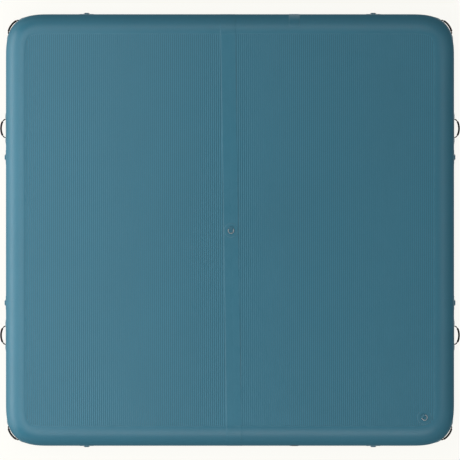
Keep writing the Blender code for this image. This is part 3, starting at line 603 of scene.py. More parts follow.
def webbing_material(name, level):
    """Black polyester webbing: a herringbone weave with a fine fuzz."""
    graph = Graph(name)
    lay = graph.lay()
    u, v, _ = graph.parts(lay)
    leaning = graph.times(graph.math("PINGPONG", v, 0.003), 1.3)
    picks = graph.ripple(graph.plus(u, leaning), 0.0016)
    ends = graph.ripple(v, 0.0012)
    fibres = graph.noise(graph.stretch(lay, (1.0, 0.25, 1.0)), 5200.0, 2.0)
    fade = graph.noise(lay, 60.0, 4.0)
    # Painted light and shade: the weave's ridges are coloured lighter and its grooves darker, by the
    # same picks that raise the bump.
    skin = graph.mix(graph.span(picks, -1.0, 1.0), grey(level * 0.55), grey(level * 1.35))
    skin = graph.veil(skin, fibres, 0.4, 0.8, 0.5, grey(level * 2.4))
    skin = graph.veil(skin, fade, 0.45, 0.8, 0.4, grey(level * 1.9))
    rough = graph.span(fade, 0.3, 0.7, 0.72, 0.86)
    normal = graph.bump(picks, 0.00018, 0.8)
    normal = graph.bump(ends, 0.00008, 0.5, normal)
    normal = graph.bump(fibres, 0.00005, 0.5, normal)
    return graph.finish(skin, rough, normal, specular=0.12)


def rubber_material(name, level, roughness, pores):
    """Black rubber with a pored skin that is polished where hands or seals rub it."""
    graph = Graph(name)
    place = graph.place()
    grain = graph.noise(place, pores, 3.0)
    blotch = graph.noise(place, 85.0, 4.0)
    pits = graph.add("ShaderNodeTexVoronoi", {"Vector": place, "Scale": pores * 0.6})
    skin = graph.mix(graph.span(blotch, 0.3, 0.75), grey(level * 0.75), grey(level * 1.25))
    skin = graph.veil(skin, grain, 0.5, 0.85, 0.45, grey(level * 2.2))
    rubbed = graph.times(graph.mark("worn"), graph.span(blotch, 0.3, 0.7))
    skin = graph.mix(graph.times(rubbed, 0.5), skin, grey(level * 2.0))
    rough = graph.span(blotch, 0.25, 0.75, roughness - 0.07, roughness + 0.07)
    rough = graph.math("SUBTRACT", rough, graph.times(rubbed, 0.12))
    normal = graph.bump(grain, 0.00008, 0.5)
    normal = graph.bump(pits, 0.00006, 0.4, normal)
    return graph.finish(skin, rough, normal, specular=0.16)


def steel_material(name, level, roughness):
    """Stainless wire: drawn along its length, polished, with a few rubbed scratches."""
    graph = Graph(name)
    lay, place = graph.lay(), graph.place()
    drawn = graph.noise(graph.stretch(lay, (0.04, 1.0, 1.0)), 9000.0, 3.0)
    stain = graph.noise(place, 160.0, 5.0, 0.65)
    nick = graph.noise(graph.stretch(place, (1.0, 0.2, 1.0)), 900.0, 5.0, 0.8)
    colour = (level * 0.95, level, level * 1.04)
    skin = graph.mix(graph.span(stain, 0.35, 0.75), tone(colour, 1.06), tone(colour, 0.82))
    skin = graph.veil(skin, nick, 0.66, 0.8, 0.4, tone(colour, 0.58))
    heat = graph.mark("heat")
    straw = (level * 0.72, level * 0.60, level * 0.42, 1.0)
    skin = graph.mix(graph.times(heat, 0.5), skin, straw)
    rough = graph.span(stain, 0.3, 0.75, roughness - 0.05, roughness + 0.10)
    rough = graph.plus(rough, graph.times(heat, 0.12))
    normal = graph.bump(drawn, 0.00002, 0.35)
    normal = graph.bump(nick, 0.00003, 0.25, normal)
    return graph.finish(skin, rough, normal, metallic=1.0)


def plastic_material(name, level, roughness):
    """Moulded plastic with a fine spark-eroded grain, paler along its worn edges."""
    graph = Graph(name)
    place = graph.place()
    grain = graph.noise(place, 2600.0, 3.0, 0.6)
    cloud = graph.noise(place, 70.0, 4.0)
    flow = graph.noise(graph.stretch(place, (1.0, 1.0, 0.2)), 240.0, 2.0)
    colour = (level, level * 1.06, level * 1.12)
    skin = graph.mix(graph.span(cloud, 0.3, 0.7), tone(colour, 0.88), tone(colour, 1.12))
    skin = graph.veil(skin, flow, 0.5, 0.8, 0.2, tone(colour, 1.35))
    worn = graph.times(graph.mark("worn"), graph.span(cloud, 0.3, 0.7))
    skin = graph.mix(graph.times(worn, 0.45), skin, tone(colour, 2.4))
    rough = graph.span(cloud, 0.3, 0.75, roughness - 0.05, roughness + 0.08)
    rough = graph.math("SUBTRACT", rough, graph.times(worn, 0.08))
    normal = graph.bump(grain, 0.00006, 0.45)
    return graph.finish(skin, rough, normal)


def thread_material(name, colour, upright=False):
    """Twisted polyester thread, along its own lay, or yarn that stands upright."""
    graph = Graph(name)
    place = graph.place()
    if upright:
        x, y, along = graph.parts(place)
        across = graph.plus(x, y)
    else:
        along, across, _ = graph.parts(graph.lay())
    slant = graph.times(across, 0.8)
    twist = graph.ripple(graph.plus(along, slant), 0.0007)
    tint = graph.noise(place, 300.0, 3.0)
    # Painted light and shade: the twist's ridges are coloured lighter and its grooves darker, by the
    # same twist that raises the bump.
    skin = graph.mix(graph.span(twist, -1.0, 1.0), tone(colour, 0.7), tone(colour, 1.15))
    skin = graph.veil(skin, tint, 0.4, 0.8, 0.5, tone(colour, 0.8))
    rough = graph.span(tint, 0.3, 0.7, 0.6, 0.75)
    return graph.finish(skin, rough, graph.bump(twist, 0.0001, 0.6))


def make_materials():
    return {
        "deck": coated_fabric("Deck_fabric", tone(TEAL, 1.16)[:3], ribbed=True),
        "bottom": coated_fabric("Bottom_fabric", TEAL, ribbed=True),
        "wall": coated_fabric("Wall_fabric", TEAL, "lay"),
        "tape": coated_fabric("Tape_fabric", tone(TEAL, 1.01)[:3]),
        "patch": coated_fabric("Patch_fabric", tone(TEAL, 0.98)[:3], "lay"),
        "webbing": webbing_material("Black_webbing", 0.0030),
        "tab": coated_fabric("Tab_fabric", tone(TEAL, 0.93)[:3], "lay"),
        "grip": rubber_material("Grip_rubber", 0.0030, 0.70, 1500.0),
        "seal": rubber_material("Seal_rubber", 0.008, 0.55, 2600.0),
        "steel": steel_material("Ring_steel", 0.42, 0.34),
        "spring": steel_material("Spring_steel", 0.55, 0.30),
        "valve": plastic_material("Valve_plastic", 0.030, 0.42),
        "thread": thread_material("Thread", (0.034, 0.115, 0.165)),
        "yarn": thread_material("Drop_yarn", (0.68, 0.66, 0.59), upright=True),
    }


# Float
def rib_profile(x):
    """Height of the deck's ribs at x, from 0 in the valleys to 1 on the ridges."""
    return np.abs(np.cos(math.pi * (x - RIB_AT) / RIB_PITCH)) ** 1.3


def make_panel(name, side, up, material):
    """One panel of the deck (up 1) or the bottom (up -1), ribbed along Y."""
    far = HALF_LENGTH - PANEL_INSET
    near = FINE_RIGHT if side > 0 else FINE_LEFT
    step = RIB_PITCH / RIB_STEPS
    columns = np.arange(near, far, step)
    columns = np.concatenate([columns[far - columns > step / 2], [far]]) * side
    y = deck_half_width(columns, PANEL_INSET)[:, None] * np.linspace(-1, 1, PANEL_ROWS)
    x = np.repeat(columns[:, None], PANEL_ROWS, axis=1)
    first_y = np.repeat(y[:1], SEAM_COLUMNS, axis=0)
    blend = np.linspace(0, 1, SEAM_COLUMNS, endpoint=False)[:, None]
    seam = seam_x(first_y) + side * SEAT / 2
    first_x = seam + (columns[0] - seam) * blend
    x, y = np.concatenate([first_x, x]), np.concatenate([first_y, y])
    ridge = rib_profile(x)
    high = PANEL_TOP + RIB_RISE - RIB_HEIGHT * (1 - ridge)
    low = np.full_like(x, PANEL_TOP - FABRIC)
    to_side = HALF_LENGTH - LAP_INSET - np.abs(x)
    to_end = deck_half_width(x, LAP_INSET) - np.abs(y)
    crease = 1 - smooth_step(np.minimum(to_side, to_end), 0.0, LAP_FEATHER)
    marks = {"ridge": both_sides(ridge), "crease": both_sides(crease)}
    shape = level_sheet(x, y, low, high, up)
    panel = make_piece(name, shape, material, marks=marks)
    length = 2 * (HALF_WIDTH - PANEL_INSET)
    widths = np.abs(np.gradient(columns))
    area = float((2 * deck_half_width(columns, PANEL_INSET) * widths).sum()) + near * length


def feathered(distance, reach=FEATHER):
    """How far a glued sheet's face sinks near its cut edge, as a share of its thickness."""
    return 1 - smooth_step(distance, -reach * 0.35, reach)


def thinned(full, inside, reach=FEATHER):
    """A glued sheet's thickness, which runs out towards its cut edge."""
    return np.minimum(full * (1 - feathered(inside, reach)) + EDGE, full)


def make_seam_tape(name, up, material):
    """The tape over the seam of two panels."""
    edge = LAP_INSET + SEAT
    half = TAPE_WIDTH / 2
    near = np.array([*EDGE_STEPS[:6], 0.008]) - half
    across = np.concatenate([near, np.linspace(-0.03, 0.03, 13), -near[::-1]])
    along = np.linspace(-1, 1, 161)
    y = np.repeat((along * (HALF_WIDTH - edge))[:, None], len(across), axis=1)
    sway = 0.0007 * waves(y[:, 0], 0.61, (0.4, 2.1, 4.4))[:, None]
    x = seam_x(y) + across + sway * smooth_step(np.abs(across), 0.03, half)
    inside = half - np.abs(across)
    seam_line = SEAM_DIP * np.exp(-((across / SEAM_DIP_WIDTH) ** 2))
    high = HEIGHT - FABRIC + thinned(FABRIC, inside) - seam_line
    high = np.repeat(high[None], len(along), axis=0)
    low = np.full_like(high, HEIGHT - FABRIC)
    marks = {"worn": both_sides(np.broadcast_to(worn_edge(inside), x.shape))}
    shape = level_sheet(x, y, low, high, up)
    tape = make_piece(name, shape, material, marks=marks)


def outline_stations():
    """Distances along the outline: close together in the corners, wider on the sides."""
    corner = np.linspace(0, QUARTER_STEPS, 73)[:-1].astype(int)
    places = []
    for quarter in range(4):
        start = quarter * (QUARTER_STEPS + 1)
        last, after = OUTLINE_AT[start + QUARTER_STEPS], OUTLINE_AT[start + QUARTER_STEPS + 1]
        places.append(OUTLINE_AT[start + corner])
        places.append(np.linspace(last, after, 48, endpoint=False))
    edge = TAPE_WIDTH / 2 + np.linspace(-0.004, 0.003, 8)
    for y in (HALF_WIDTH, -HALF_WIDTH):
        middle = station_near((seam_x(y), y))
        places += [middle - edge, middle + edge]
    return np.sort(np.concatenate(places) % AROUND)


def tape_lift(along, rise):
    """How far the wall's cloth rises where it passes over the seam tapes' ends."""
    place, _ = outline(along)
    inside = TAPE_WIDTH / 2 - np.abs(place[..., 0] - seam_x(place[..., 1]))
    fade = smooth_step(np.abs(rise), 0.05 * ROUND, 0.6 * ROUND)
    most = np.where(rise > 0, 0.0010, 0.0003)
    return most * (1 - feathered(inside, 0.0028)) * (0.35 + 0.65 * fade)


def wall_rises():
    """Places up the rail, from the bottom lap's edge to the deck lap's edge."""
    top = ROUND + LAP_INSET - RAIL
    edge = top - np.array(EDGE_STEPS)
    round_part = np.linspace(0, ROUND, 37)
    upper = np.unique(np.concatenate([round_part[round_part < edge[-1]], edge]))
    return mirrored(upper), top


def make_side_wall(material):
    along = outline_stations()
    rises, top = wall_rises()
    s, rise = np.meshgrid(along, rises, indexing="ij")
    beyond = np.maximum(np.abs(rise) - ROUND, 0) / (top - ROUND)
    sway = 0.0006 * waves(along, AROUND / 41, (0.3, 1.7, 3.9, 5.2))[:, None]
    inside = top - np.abs(rise)
    high = thinned(FABRIC, inside, LAP_FEATHER) - FABRIC + tape_lift(s, rise)
    laid = rise + np.sign(rise) * sway * beyond
    outer = wall_point(s, laid, high).reshape(-1, 3)
    inner = wall_point(s, laid, -FABRIC).reshape(-1, 3)
    faces = grid_faces(*s.shape, closed_rows=True)
    closed_s = np.concatenate([along, [AROUND]])
    uvs = grid_uvs(len(along), len(rises) - 1, closed_s, rises)
    worn = worn_edge(inside) + 0.5 * np.exp(-((rise / 0.03) ** 2))
    crease = smooth_step(-rise, ROUND * 0.8, ROUND * 1.1)
    rubbed = np.clip(-outline(s)[1][..., 0], 0, 1) * 0.28
    dull = 1 - smooth_step(rise / ROUND, 0.38 - rubbed, 0.75 - rubbed)
    marks = {
        "worn": both_sides(np.clip(worn, 0, 1)),
        "crease": both_sides(crease),
        "dull": both_sides(dull),
    }
    shape = thicken(faces, uvs, inner, outer)
    wall = make_piece("side_wall", shape, material, marks=marks)
    cut_valve_hole(wall)


def cut_valve_hole(wall):
    """Cuts the round hole that the valve's barrel sits in."""
    radius, reach = BARREL_RADIUS + SEAT, 0.02
    shape = lathe([(0, -reach), (radius, -reach), (radius, reach), (0, reach)])
    turned = valve_place(shape[0]), *shape[1:]
    mesh = bpy.data.meshes.new("valve_hole")
    mesh.from_pydata(turned[0].tolist(), [], outward(*turned[:2]).tolist())
    cutter = add_object("valve_hole", mesh)
    step = wall.modifiers.new("valve_hole", "BOOLEAN")
    step.operation, step.solver, step.object = "DIFFERENCE", "EXACT", cutter
    depsgraph = bpy.context.evaluated_depsgraph_get()
    cut = bpy.data.meshes.new_from_object(wall.evaluated_get(depsgraph))
    wall.modifiers.clear()
    wall.data = cut
    bpy.data.objects.remove(cutter)


def rectangle_grid(length, height, corner, across, up):
    """Points of a grid over a rounded rectangle, at shares from -1 to 1 each way."""
    x = across * length / 2
    over = np.maximum(np.abs(x) - (length / 2 - corner), 0)
    half = height / 2 - corner + np.sqrt(np.maximum(corner**2 - over**2, 0))
    half = np.where(over > 0, half, height / 2)
    return np.meshgrid(x, up, indexing="ij")[0], half[:, None] * up


def edge_distance(x, y, length, height, corner):
    """How far inside a rounded rectangle each place is."""
    dx = np.abs(x) - (length / 2 - corner)
    dy = np.abs(y) - (height / 2 - corner)
    beyond = np.hypot(np.maximum(dx, 0), np.maximum(dy, 0)) + np.minimum(np.maximum(dx, dy), 0)
    return corner - beyond


def spaced(middle, edges=6, reach=0.12):
    """Shares from -1 to 1, closer together near both ends."""
    near = 1 - reach * (np.arange(edges) / edges) ** 2
    inner = np.linspace(-1 + reach, 1 - reach, middle)
    return np.concatenate([-near, inner, near[::-1]])


def make_joint_strap(material):
    """The strap glued over the joint where the side wall's two ends meet."""
    start = station_near((JOINT_STRAP_X, HALF_WIDTH))
    corner = JOINT_STRAP_LENGTH / 8
    x, y = rectangle_grid(
        2 * JOINT_STRAP_REACH, JOINT_STRAP_LENGTH, corner, spaced(80, 8, 0.05), spaced(14)
    )
    inside = edge_distance(x, y, 2 * JOINT_STRAP_REACH, JOINT_STRAP_LENGTH, corner)
    thick = FABRIC * (1 - feathered(inside)) + EDGE
    ridge = 0.00025 * np.exp(-((y / 0.0015) ** 2))
    low = wall_point(start + y, x, SEAT / 3)
    high = wall_point(start + y, x, SEAT / 3 + thick - ridge)
    shape = sheet(grid_faces(*x.shape), y, x, low, high)
    marks = {"worn": both_sides(worn_edge(inside))}
    strap = make_piece("side_wall_joint_strap", shape, material, marks=marks)


# D-rings
def ring_frame(name):
    """Columns X along the bar, Y ahead and Z out of the surface, and the origin."""
    joint = JOINTS[f"{name}_swing"]
    bar = unit(np.array(joint["axis"], float))
    origin = np.array(joint["pos_m"], float)
    if name in DECK_RINGS:
        out = np.array([0.0, 0.0, 1.0])
    else:
        _, normal = outline(station_near(origin))
        out = np.array([*np.round(normal, 6), 0.0])
    ahead = np.cross(out, bar)
    return np.stack([np.cross(ahead, out), ahead, out], axis=1), origin


def ring_path():
    """The middle line of the wire, closed, in the ring's own plane."""
    corners = np.array(
        [(-RING_SPAN, RING_LEG), (-RING_SPAN, 0), (RING_SPAN, 0), (RING_SPAN, RING_LEG)]
    )
    left, right = (corner_curve(*corners[at : at + 3], RING_FILLET, 8) for at in (0, 1))
    bar = np.column_stack([np.linspace(-0.008, 0.008, 9), np.zeros(9)])
    turn = np.linspace(0, math.pi, 40, endpoint=False)
    bow = np.stack([RING_SPAN * np.cos(turn), RING_LEG + RING_SPAN * np.sin(turn)], axis=1)
    return np.concatenate([left, bar, right, bow])


def make_ring(name, material):
    turn, origin = ring_frame(name)
    path = ring_path()
    way = unit(np.roll(path, -1, axis=0) - np.roll(path, 1, axis=0))
    side = np.stack([way[:, 1], -way[:, 0]], axis=1)
    around = full_turn(24)
    on_bar = np.abs(path[:, 1]) < 1e-6
    weld = np.exp(-((path[:, 0] / WELD_REACH) ** 2)) * on_bar
    radius = WIRE * (1 + WELD_RISE_SHARE * weld)
    sections = np.zeros((len(path), len(around), 3))
    sections[..., :2] = path[:, None] + (
        side[:, None] * (np.cos(around) * radius[:, None])[..., None]
    )
    sections[..., 2] = np.sin(around) * radius[:, None]
    if name in DECK_RINGS:
        slack = BAR_HEIGHT - WIRE - SEAT
        tilt = -math.asin(slack / (RING_LEG + RING_SPAN))
        sections = sections @ np.array(Matrix.Rotation(tilt, 3, "X")).T
    shape = loft(sections @ turn.T + origin, closed=True)
    heat = np.repeat(np.exp(-((path[:, 0] / HEAT_REACH) ** 2)) * on_bar, len(around))
    make_piece(name, shape, material, name, sharp=80, marks={"heat": heat})


def ring_lay(name):
    """Lays a ring's local places on the deck or the rail: X along the bar, Y ahead."""
    turn, origin = ring_frame(name)
    ground = BAR_HEIGHT + PATCH_THICKNESS
    if name in DECK_RINGS:

        def on_deck(x, y, z):
            local = np.stack(np.broadcast_arrays(x, y, np.asarray(z, float) - ground), axis=-1)
            return local @ turn.T + origin

        return on_deck
    start = station_near(origin)

    def on_rail(x, y, z):
        return wall_point(start - x, SIDE_RING_RISE - y, np.asarray(z, float) + SEAT)

    return on_rail


def make_ring_patch(name, materials):
    """The round patch, with a raised rim, and the tab that holds the ring's bar."""
    lay = ring_lay(name)
    radii = PATCH_RADIUS - np.array([0, 0.0003, 0.0009, 0.0016, 0.0025, 0.0036, 0.005, 0.0065])
    radii = np.concatenate([radii, np.linspace(0.030, DISC_HOLE, 16)])
    radius, turn, faces = disc_grid(radii, 96)
    ragged = 1 + 0.006 * waves(turn, 2 * math.pi, (0.5, 2.6, 4.1)) * (radius > 0.03)
    x = radius * ragged * np.cos(turn)
    y = radius * ragged * np.sin(turn) + PATCH_AHEAD
    inside = PATCH_RADIUS - radius
    thick = thinned(PATCH_THICKNESS, inside, PATCH_FEATHER)
    thick = thick - RIM_GROOVE * np.exp(-(((inside - RIM_GROOVE_AT) / RIM_GROOVE_WIDTH) ** 2))
    shape = sheet(faces, x, y, lay(x, y, -SEAT * 0.6), lay(x, y, thick))
    marks = {
        "worn": both_sides(worn_edge(inside)),
        "crease": both_sides(np.hypot(x / 1.4, y + 0.006) < 0.012),
    }
    make_piece(f"{name}_patch", shape, materials["patch"], marks=marks)
    make_tab(name, lay, materials)


def tab_path():
    """The tab's middle line in the ring's side view, (ahead, up from the patch's face)."""
    half = TAB_THICKNESS / 2
    eye = WIRE + SEAT + half
    lower = [(-TAB_TAIL, half), (-0.011, half), (-0.007, half), (-0.0035, half - 0.0001)]
    around = [
        (eye * math.cos(turn), BAR_HEIGHT + eye * math.sin(turn))
        for turn in np.linspace(math.radians(-112), math.radians(118), 24)
    ]
    upper = [
        (-0.0045, BAR_HEIGHT + 0.0014),
        (-0.0068, BAR_HEIGHT - 0.0001),
        (-0.0090, 3 * half + 0.0002),
        (-0.0112, 3 * half),
        (-TAB_TAIL, 3 * half),
    ]
    return np.array([*lower, *around, *upper])


def smooth_line(points, rounds=2):
    """Cuts an open line's corners."""
    for _ in range(rounds):
        near = points[:-1] * 0.75 + points[1:] * 0.25
        far = points[:-1] * 0.25 + points[1:] * 0.75
        cut = np.stack([near, far], axis=1).reshape(-1, points.shape[1])
        points = np.concatenate([points[:1], cut[1:-1], points[-1:]])
    return points


def ribbon_section(width, thickness, steps=5):
    """A flat band's rounded section: (across, up), anticlockwise."""
    half, thick = width / 2, thickness / 2
    corners = [(half, thick), (-half, thick), (-half, -thick), (half, -thick)]
    return rounded(corners, thick * 0.9, steps - 1)


def make_tab(name, lay, materials):
    path = smooth_line(tab_path(), 1)
    way = unit(np.gradient(path, axis=0))
    up = np.stack([-way[:, 1], way[:, 0]], axis=1)
    section = ribbon_section(TAB_WIDTH, TAB_THICKNESS * 0.96)
    side = section[:, 0][None] * np.ones((len(path), 1))
    level = path[:, None] + up[:, None] * section[:, 1][None, :, None]
    shape = loft(lay(side, level[..., 0], level[..., 1] + PATCH_THICKNESS))
    make_piece(f"{name}_tab", shape, materials["tab"], in_cad=False)
    top = PATCH_THICKNESS + 2 * TAB_THICKNESS
    stitches = [
        stitch(lay, (x, y), (TAB_STITCH, 0.0), top)
        for y in TAB_STITCH_ROWS
        for x in np.linspace(-0.009, 0.009, 9)
    ]
    sewing = f"{name}_tab_stitches"
    make_piece(sewing, joined(stitches), materials["thread"], in_cad=False)


def stitch(lay, centre, way, face, radius=0.00032):
    """One thread pass that dips into the surface at both ends."""
    share = np.linspace(-0.5, 0.5, 7)
    length = math.hypot(*way)
    side = np.array([-way[1], way[0]]) / length
    around = full_turn(6)
    sections = []
    for part in share:
        lift = radius * (1.6 * (1 - (2 * part) ** 2) - 0.7)
        girth = radius * (0.55 + 0.45 * (1 - (2 * abs(part)) ** 3))
        out = np.cos(around) * girth
        x = centre[0] + way[0] * part + side[0] * out
        y = centre[1] + way[1] * part + side[1] * out
        sections.append(lay(x, y, face + lift + np.sin(around) * girth))
    return loft(np.array(sections))


# Handles
def loop_line(centre, span, reach, first, last, steps):
    """Places on the loop's middle line in plan, from shares of its half turn."""
    lying = SEAT + STRAP_FLAT / 2
    rise = reach - GRIP_WALL - SEAT - STRAP_THICKNESS / 2 - lying
    half = (span - STRAP_THICKNESS) / 2
    turn = np.linspace(first, last, steps) * math.pi
    point, normal = outline(centre - half * np.cos(turn))
    return point + normal * (lying + rise * np.sin(turn))[:, None]


def strap_line(centre, span, reach):
    """The whole strap in plan, tail, bend, loop, bend and tail, and its thickness there."""
    half = (span - STRAP_THICKNESS) / 2
    tails = []
    for way in (-1, 1):
        places = centre + way * np.linspace(half + STRAP_TAIL, half + TAIL_END, 14)
        point, normal = outline(places)
        lying = point + normal * (SEAT + STRAP_FLAT / 2)
        tails.append(np.column_stack([lying, np.full(len(lying), STRAP_FLAT)]))
    first, last, steps = 0.018, 0.982, 65
    share = np.linspace(first, last, steps)
    near = np.minimum(share, 1 - share)
    in_grip = smooth_step(near, (1 - GRIP_SHARE) / 2 - 0.045, (1 - GRIP_SHARE) / 2 - 0.004)
    thick = STRAP_FREE + (STRAP_THICKNESS - STRAP_FREE) * in_grip
    thick = STRAP_FLAT + (thick - STRAP_FLAT) * smooth_step(near, -0.01, 0.05)
    loop = np.column_stack([loop_line(centre, span, reach, first, last, steps), thick])
    line = smooth_line(np.concatenate([tails[0], loop, tails[1][::-1]]), 2)
    return line[:, :2], line[:, 2]


def plan_sections(line, section):
    """Sections (out, up) carried along a level line at mid height."""
    way = unit(np.gradient(line, axis=0))
    out = np.stack([way[:, 1], -way[:, 0]], axis=1)
    sections = np.zeros((len(line), section.shape[-2], 3))
    section = np.broadcast_to(section, (len(line), *section.shape[-2:]))
    sections[..., :2] = line[:, None] + out[:, None] * section[..., :1]
    sections[..., 2] = RAIL + section[..., 1]
    return sections


def strap_section(thick):
    """The strap's section, (out, up), with rounded selvedges."""
    return ribbon_section(STRAP_WIDTH, thick, 6)[:, ::-1]


def make_strap(name, centre, span, reach, material):
    line, thickness = strap_line(centre, span, reach)
    shape = loft(plan_sections(line, np.array([strap_section(thick) for thick in thickness])))
    strap = make_piece(f"{name}_strap", shape, material, body=None)
    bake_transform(strap)


def grip_profile(steps=60):
    """(share along the grip, how far the skin stands off the strap), cuffs and grooves."""
    share = np.linspace(0, 1, steps)
    ends = smooth_step(np.minimum(share, 1 - share), 0.0, 0.05)
    wall = GRIP_WALL * (0.6 + 0.4 * ends)
    grooves = GROOVE * (np.sin(share * 2 * math.pi * GROOVES) > 0.92)
    middle = smooth_step(np.minimum(share, 1 - share), 0.12, 0.16)
    return share, wall - grooves * middle


def oval(across, up, fullness, steps=44):
    """A closed section, (across, up): an ellipse that is fuller towards its corners."""
    turn = full_turn(steps)
    x, y = np.cos(turn), np.sin(turn)
    power = 2 / fullness
    return np.column_stack(
        [across * np.sign(x) * np.abs(x) ** power, up * np.sign(y) * np.abs(y) ** power]
    )


def make_grip(name, centre, span, reach, material):
    """A moulded sleeve round the strap, with soft cuffs."""
    first = (1 - GRIP_SHARE) / 2
    share, wall = grip_profile()
    line = loop_line(centre, span, reach, first, 1 - first, len(share))
    half_thick, half_wide = STRAP_THICKNESS / 2 + SEAT, STRAP_WIDTH / 2 + SEAT
    outer = np.array([oval(half_thick + off, half_wide + off, 2.8) for off in wall])
    hole = oval(half_thick, half_wide, 6.0)
    inside = plan_sections(line, hole)[::-1]
    shape = loft(np.concatenate([plan_sections(line, outer), inside]), closed=True)
    rubbed = np.concatenate([np.sin(share * math.pi), np.zeros(len(share))])
    marks = {"worn": np.repeat(rubbed, len(hole))}
    node = f"{name}_grip"
    make_piece(node, shape, material, node, sharp=40, marks=marks)


def make_anchor(name, centre, span, materials):
    """The patch over both ends of the strap, humped over them, open where they leave it."""
    mouth = (span - STRAP_THICKNESS) / 2
    slot_start = mouth - STRAP_THICKNESS / 2 - SLOT_BEFORE
    slot_stop = mouth + SLOT_AFTER
    hump_stop = mouth + STRAP_TAIL + 0.0006
    half_height = STRAP_WIDTH / 2 + ANCHOR_ROOM
    half = ANCHOR_LENGTH / 2
    ramp = np.linspace(slot_stop, hump_stop + ANCHOR_RAMP, 22)
    outer = np.concatenate([ramp, half - ANCHOR_EDGE[::-1]])
    outer = np.unique(np.round(outer, 6))
    positive = np.concatenate([np.linspace(0, slot_start, 12), outer])
    across = mirrored(positive) / half
    top = ANCHOR_HEIGHT / 2
    slot_row = half_height + 0.0004
    ramp_top = half_height + ANCHOR_RAMP
    ups = np.concatenate(
        [
            np.linspace(0, slot_row, 9),
            np.linspace(slot_row, ramp_top, 9)[1:],
            np.linspace(ramp_top, top - ANCHOR_EDGE[-1], 4)[1:],
            top - ANCHOR_EDGE[:-1][::-1],
        ]
    )
    ups = mirrored(ups) / top
    x, y = rectangle_grid(ANCHOR_LENGTH, ANCHOR_HEIGHT, ANCHOR_CORNER, across, ups)
    inside = edge_distance(x, y, ANCHOR_LENGTH, ANCHOR_HEIGHT, ANCHOR_CORNER)
    thick = thinned(PATCH_THICKNESS, inside, PATCH_FEATHER)
    run = np.maximum(np.abs(x) - hump_stop, 0)
    side = np.maximum(np.abs(y) - half_height, 0)
    far = np.hypot(run, side)
    lift = (STRAP_FLAT + SEAT) * (1 - smooth_step(far, 0, ANCHOR_RAMP))
    lift = lift * smooth_step(np.abs(x), slot_start - 0.0005, slot_stop)
    crease = smooth_step(far, 0, 0.003) * (1 - smooth_step(far, 0.004, 0.008))
    faces = grid_faces(*x.shape)
    middle = np.stack([x, y], axis=2).reshape(-1, 2)[faces].mean(axis=1)
    slot = (np.abs(middle[:, 0]) > slot_start) & (np.abs(middle[:, 0]) < slot_stop)
    slot &= np.abs(middle[:, 1]) < slot_row
    faces = faces[~slot]
    low = wall_point(centre + x, y, lift + SEAT / 3)
    high = wall_point(centre + x, y, lift + SEAT / 3 + thick)
    shape = sheet(faces, x, y, low, high)
    marks = {"worn": both_sides(worn_edge(inside)), "crease": both_sides(crease)}
    make_piece(f"{name}_anchor", shape, materials["patch"], marks=marks)
    make_anchor_stitches(name, centre, mouth, materials["thread"])


def make_anchor_stitches(name, centre, mouth, material):
    """A sewn box with a cross over each end of the strap."""
    face = SEAT / 3 + PATCH_THICKNESS + STRAP_FLAT + SEAT
    near, far = mouth + BOX_NEAR, mouth + STRAP_TAIL - BOX_FAR
    half = STRAP_WIDTH / 2 - BOX_SIDE
    corners = [(near, -half), (far, -half), (far, half), (near, half)]
    lines = list(zip(corners, corners[1:] + corners[:1]))
    lines += [(corners[0], corners[2]), (corners[1], corners[3])]

    def lay(x, y, z):
        return wall_point(centre + x, y, z)

    stitches = []
    for way in (-1, 1):
        for start, stop in lines:
            start = np.array([start[0] * way, start[1]])
            stop = np.array([stop[0] * way, stop[1]])
            count = max(int(np.linalg.norm(stop - start) / BOX_STITCH), 2)
            step = (stop - start) / count
            for index in range(count):
                middle = start + step * (index + 0.5)
                stitches.append(stitch(lay, middle, step * 0.78, face, 0.0003))
    make_piece(f"{name}_anchor_stitches", joined(stitches), material, in_cad=False)


def make_handle(name, span, reach, materials):
    joint = JOINTS[f"{name}_swing"]
    pivot = np.array(joint["pos_m"], float)
    centre = station_near(pivot)
    _, normal = outline(centre)
    out = np.array([*normal, 0.0])
    make_strap(name, centre, span, reach, materials["webbing"])
    make_grip(name, centre, span, reach, materials["grip"])
    make_anchor(name, centre, span, materials)


# Valve
def valve_place(points):
    """Turns points whose Z is the valve's axis, outwards, into the float's frame."""
    points = np.asarray(points, float)
    return np.stack(
        [VALVE_X - points[..., 0], -HALF_WIDTH - points[..., 2], RAIL + points[..., 1]], axis=-1
    )


def saddle(x, y, offset):
    """Places on the rail's wall, lifted, at the valve's own X and Y."""
    turn = np.arcsin(y / (RAIL + offset))
    depth = RAIL - (RAIL + offset) * np.cos(turn)
    return valve_place(np.stack(np.broadcast_arrays(x, y, -depth), axis=-1))


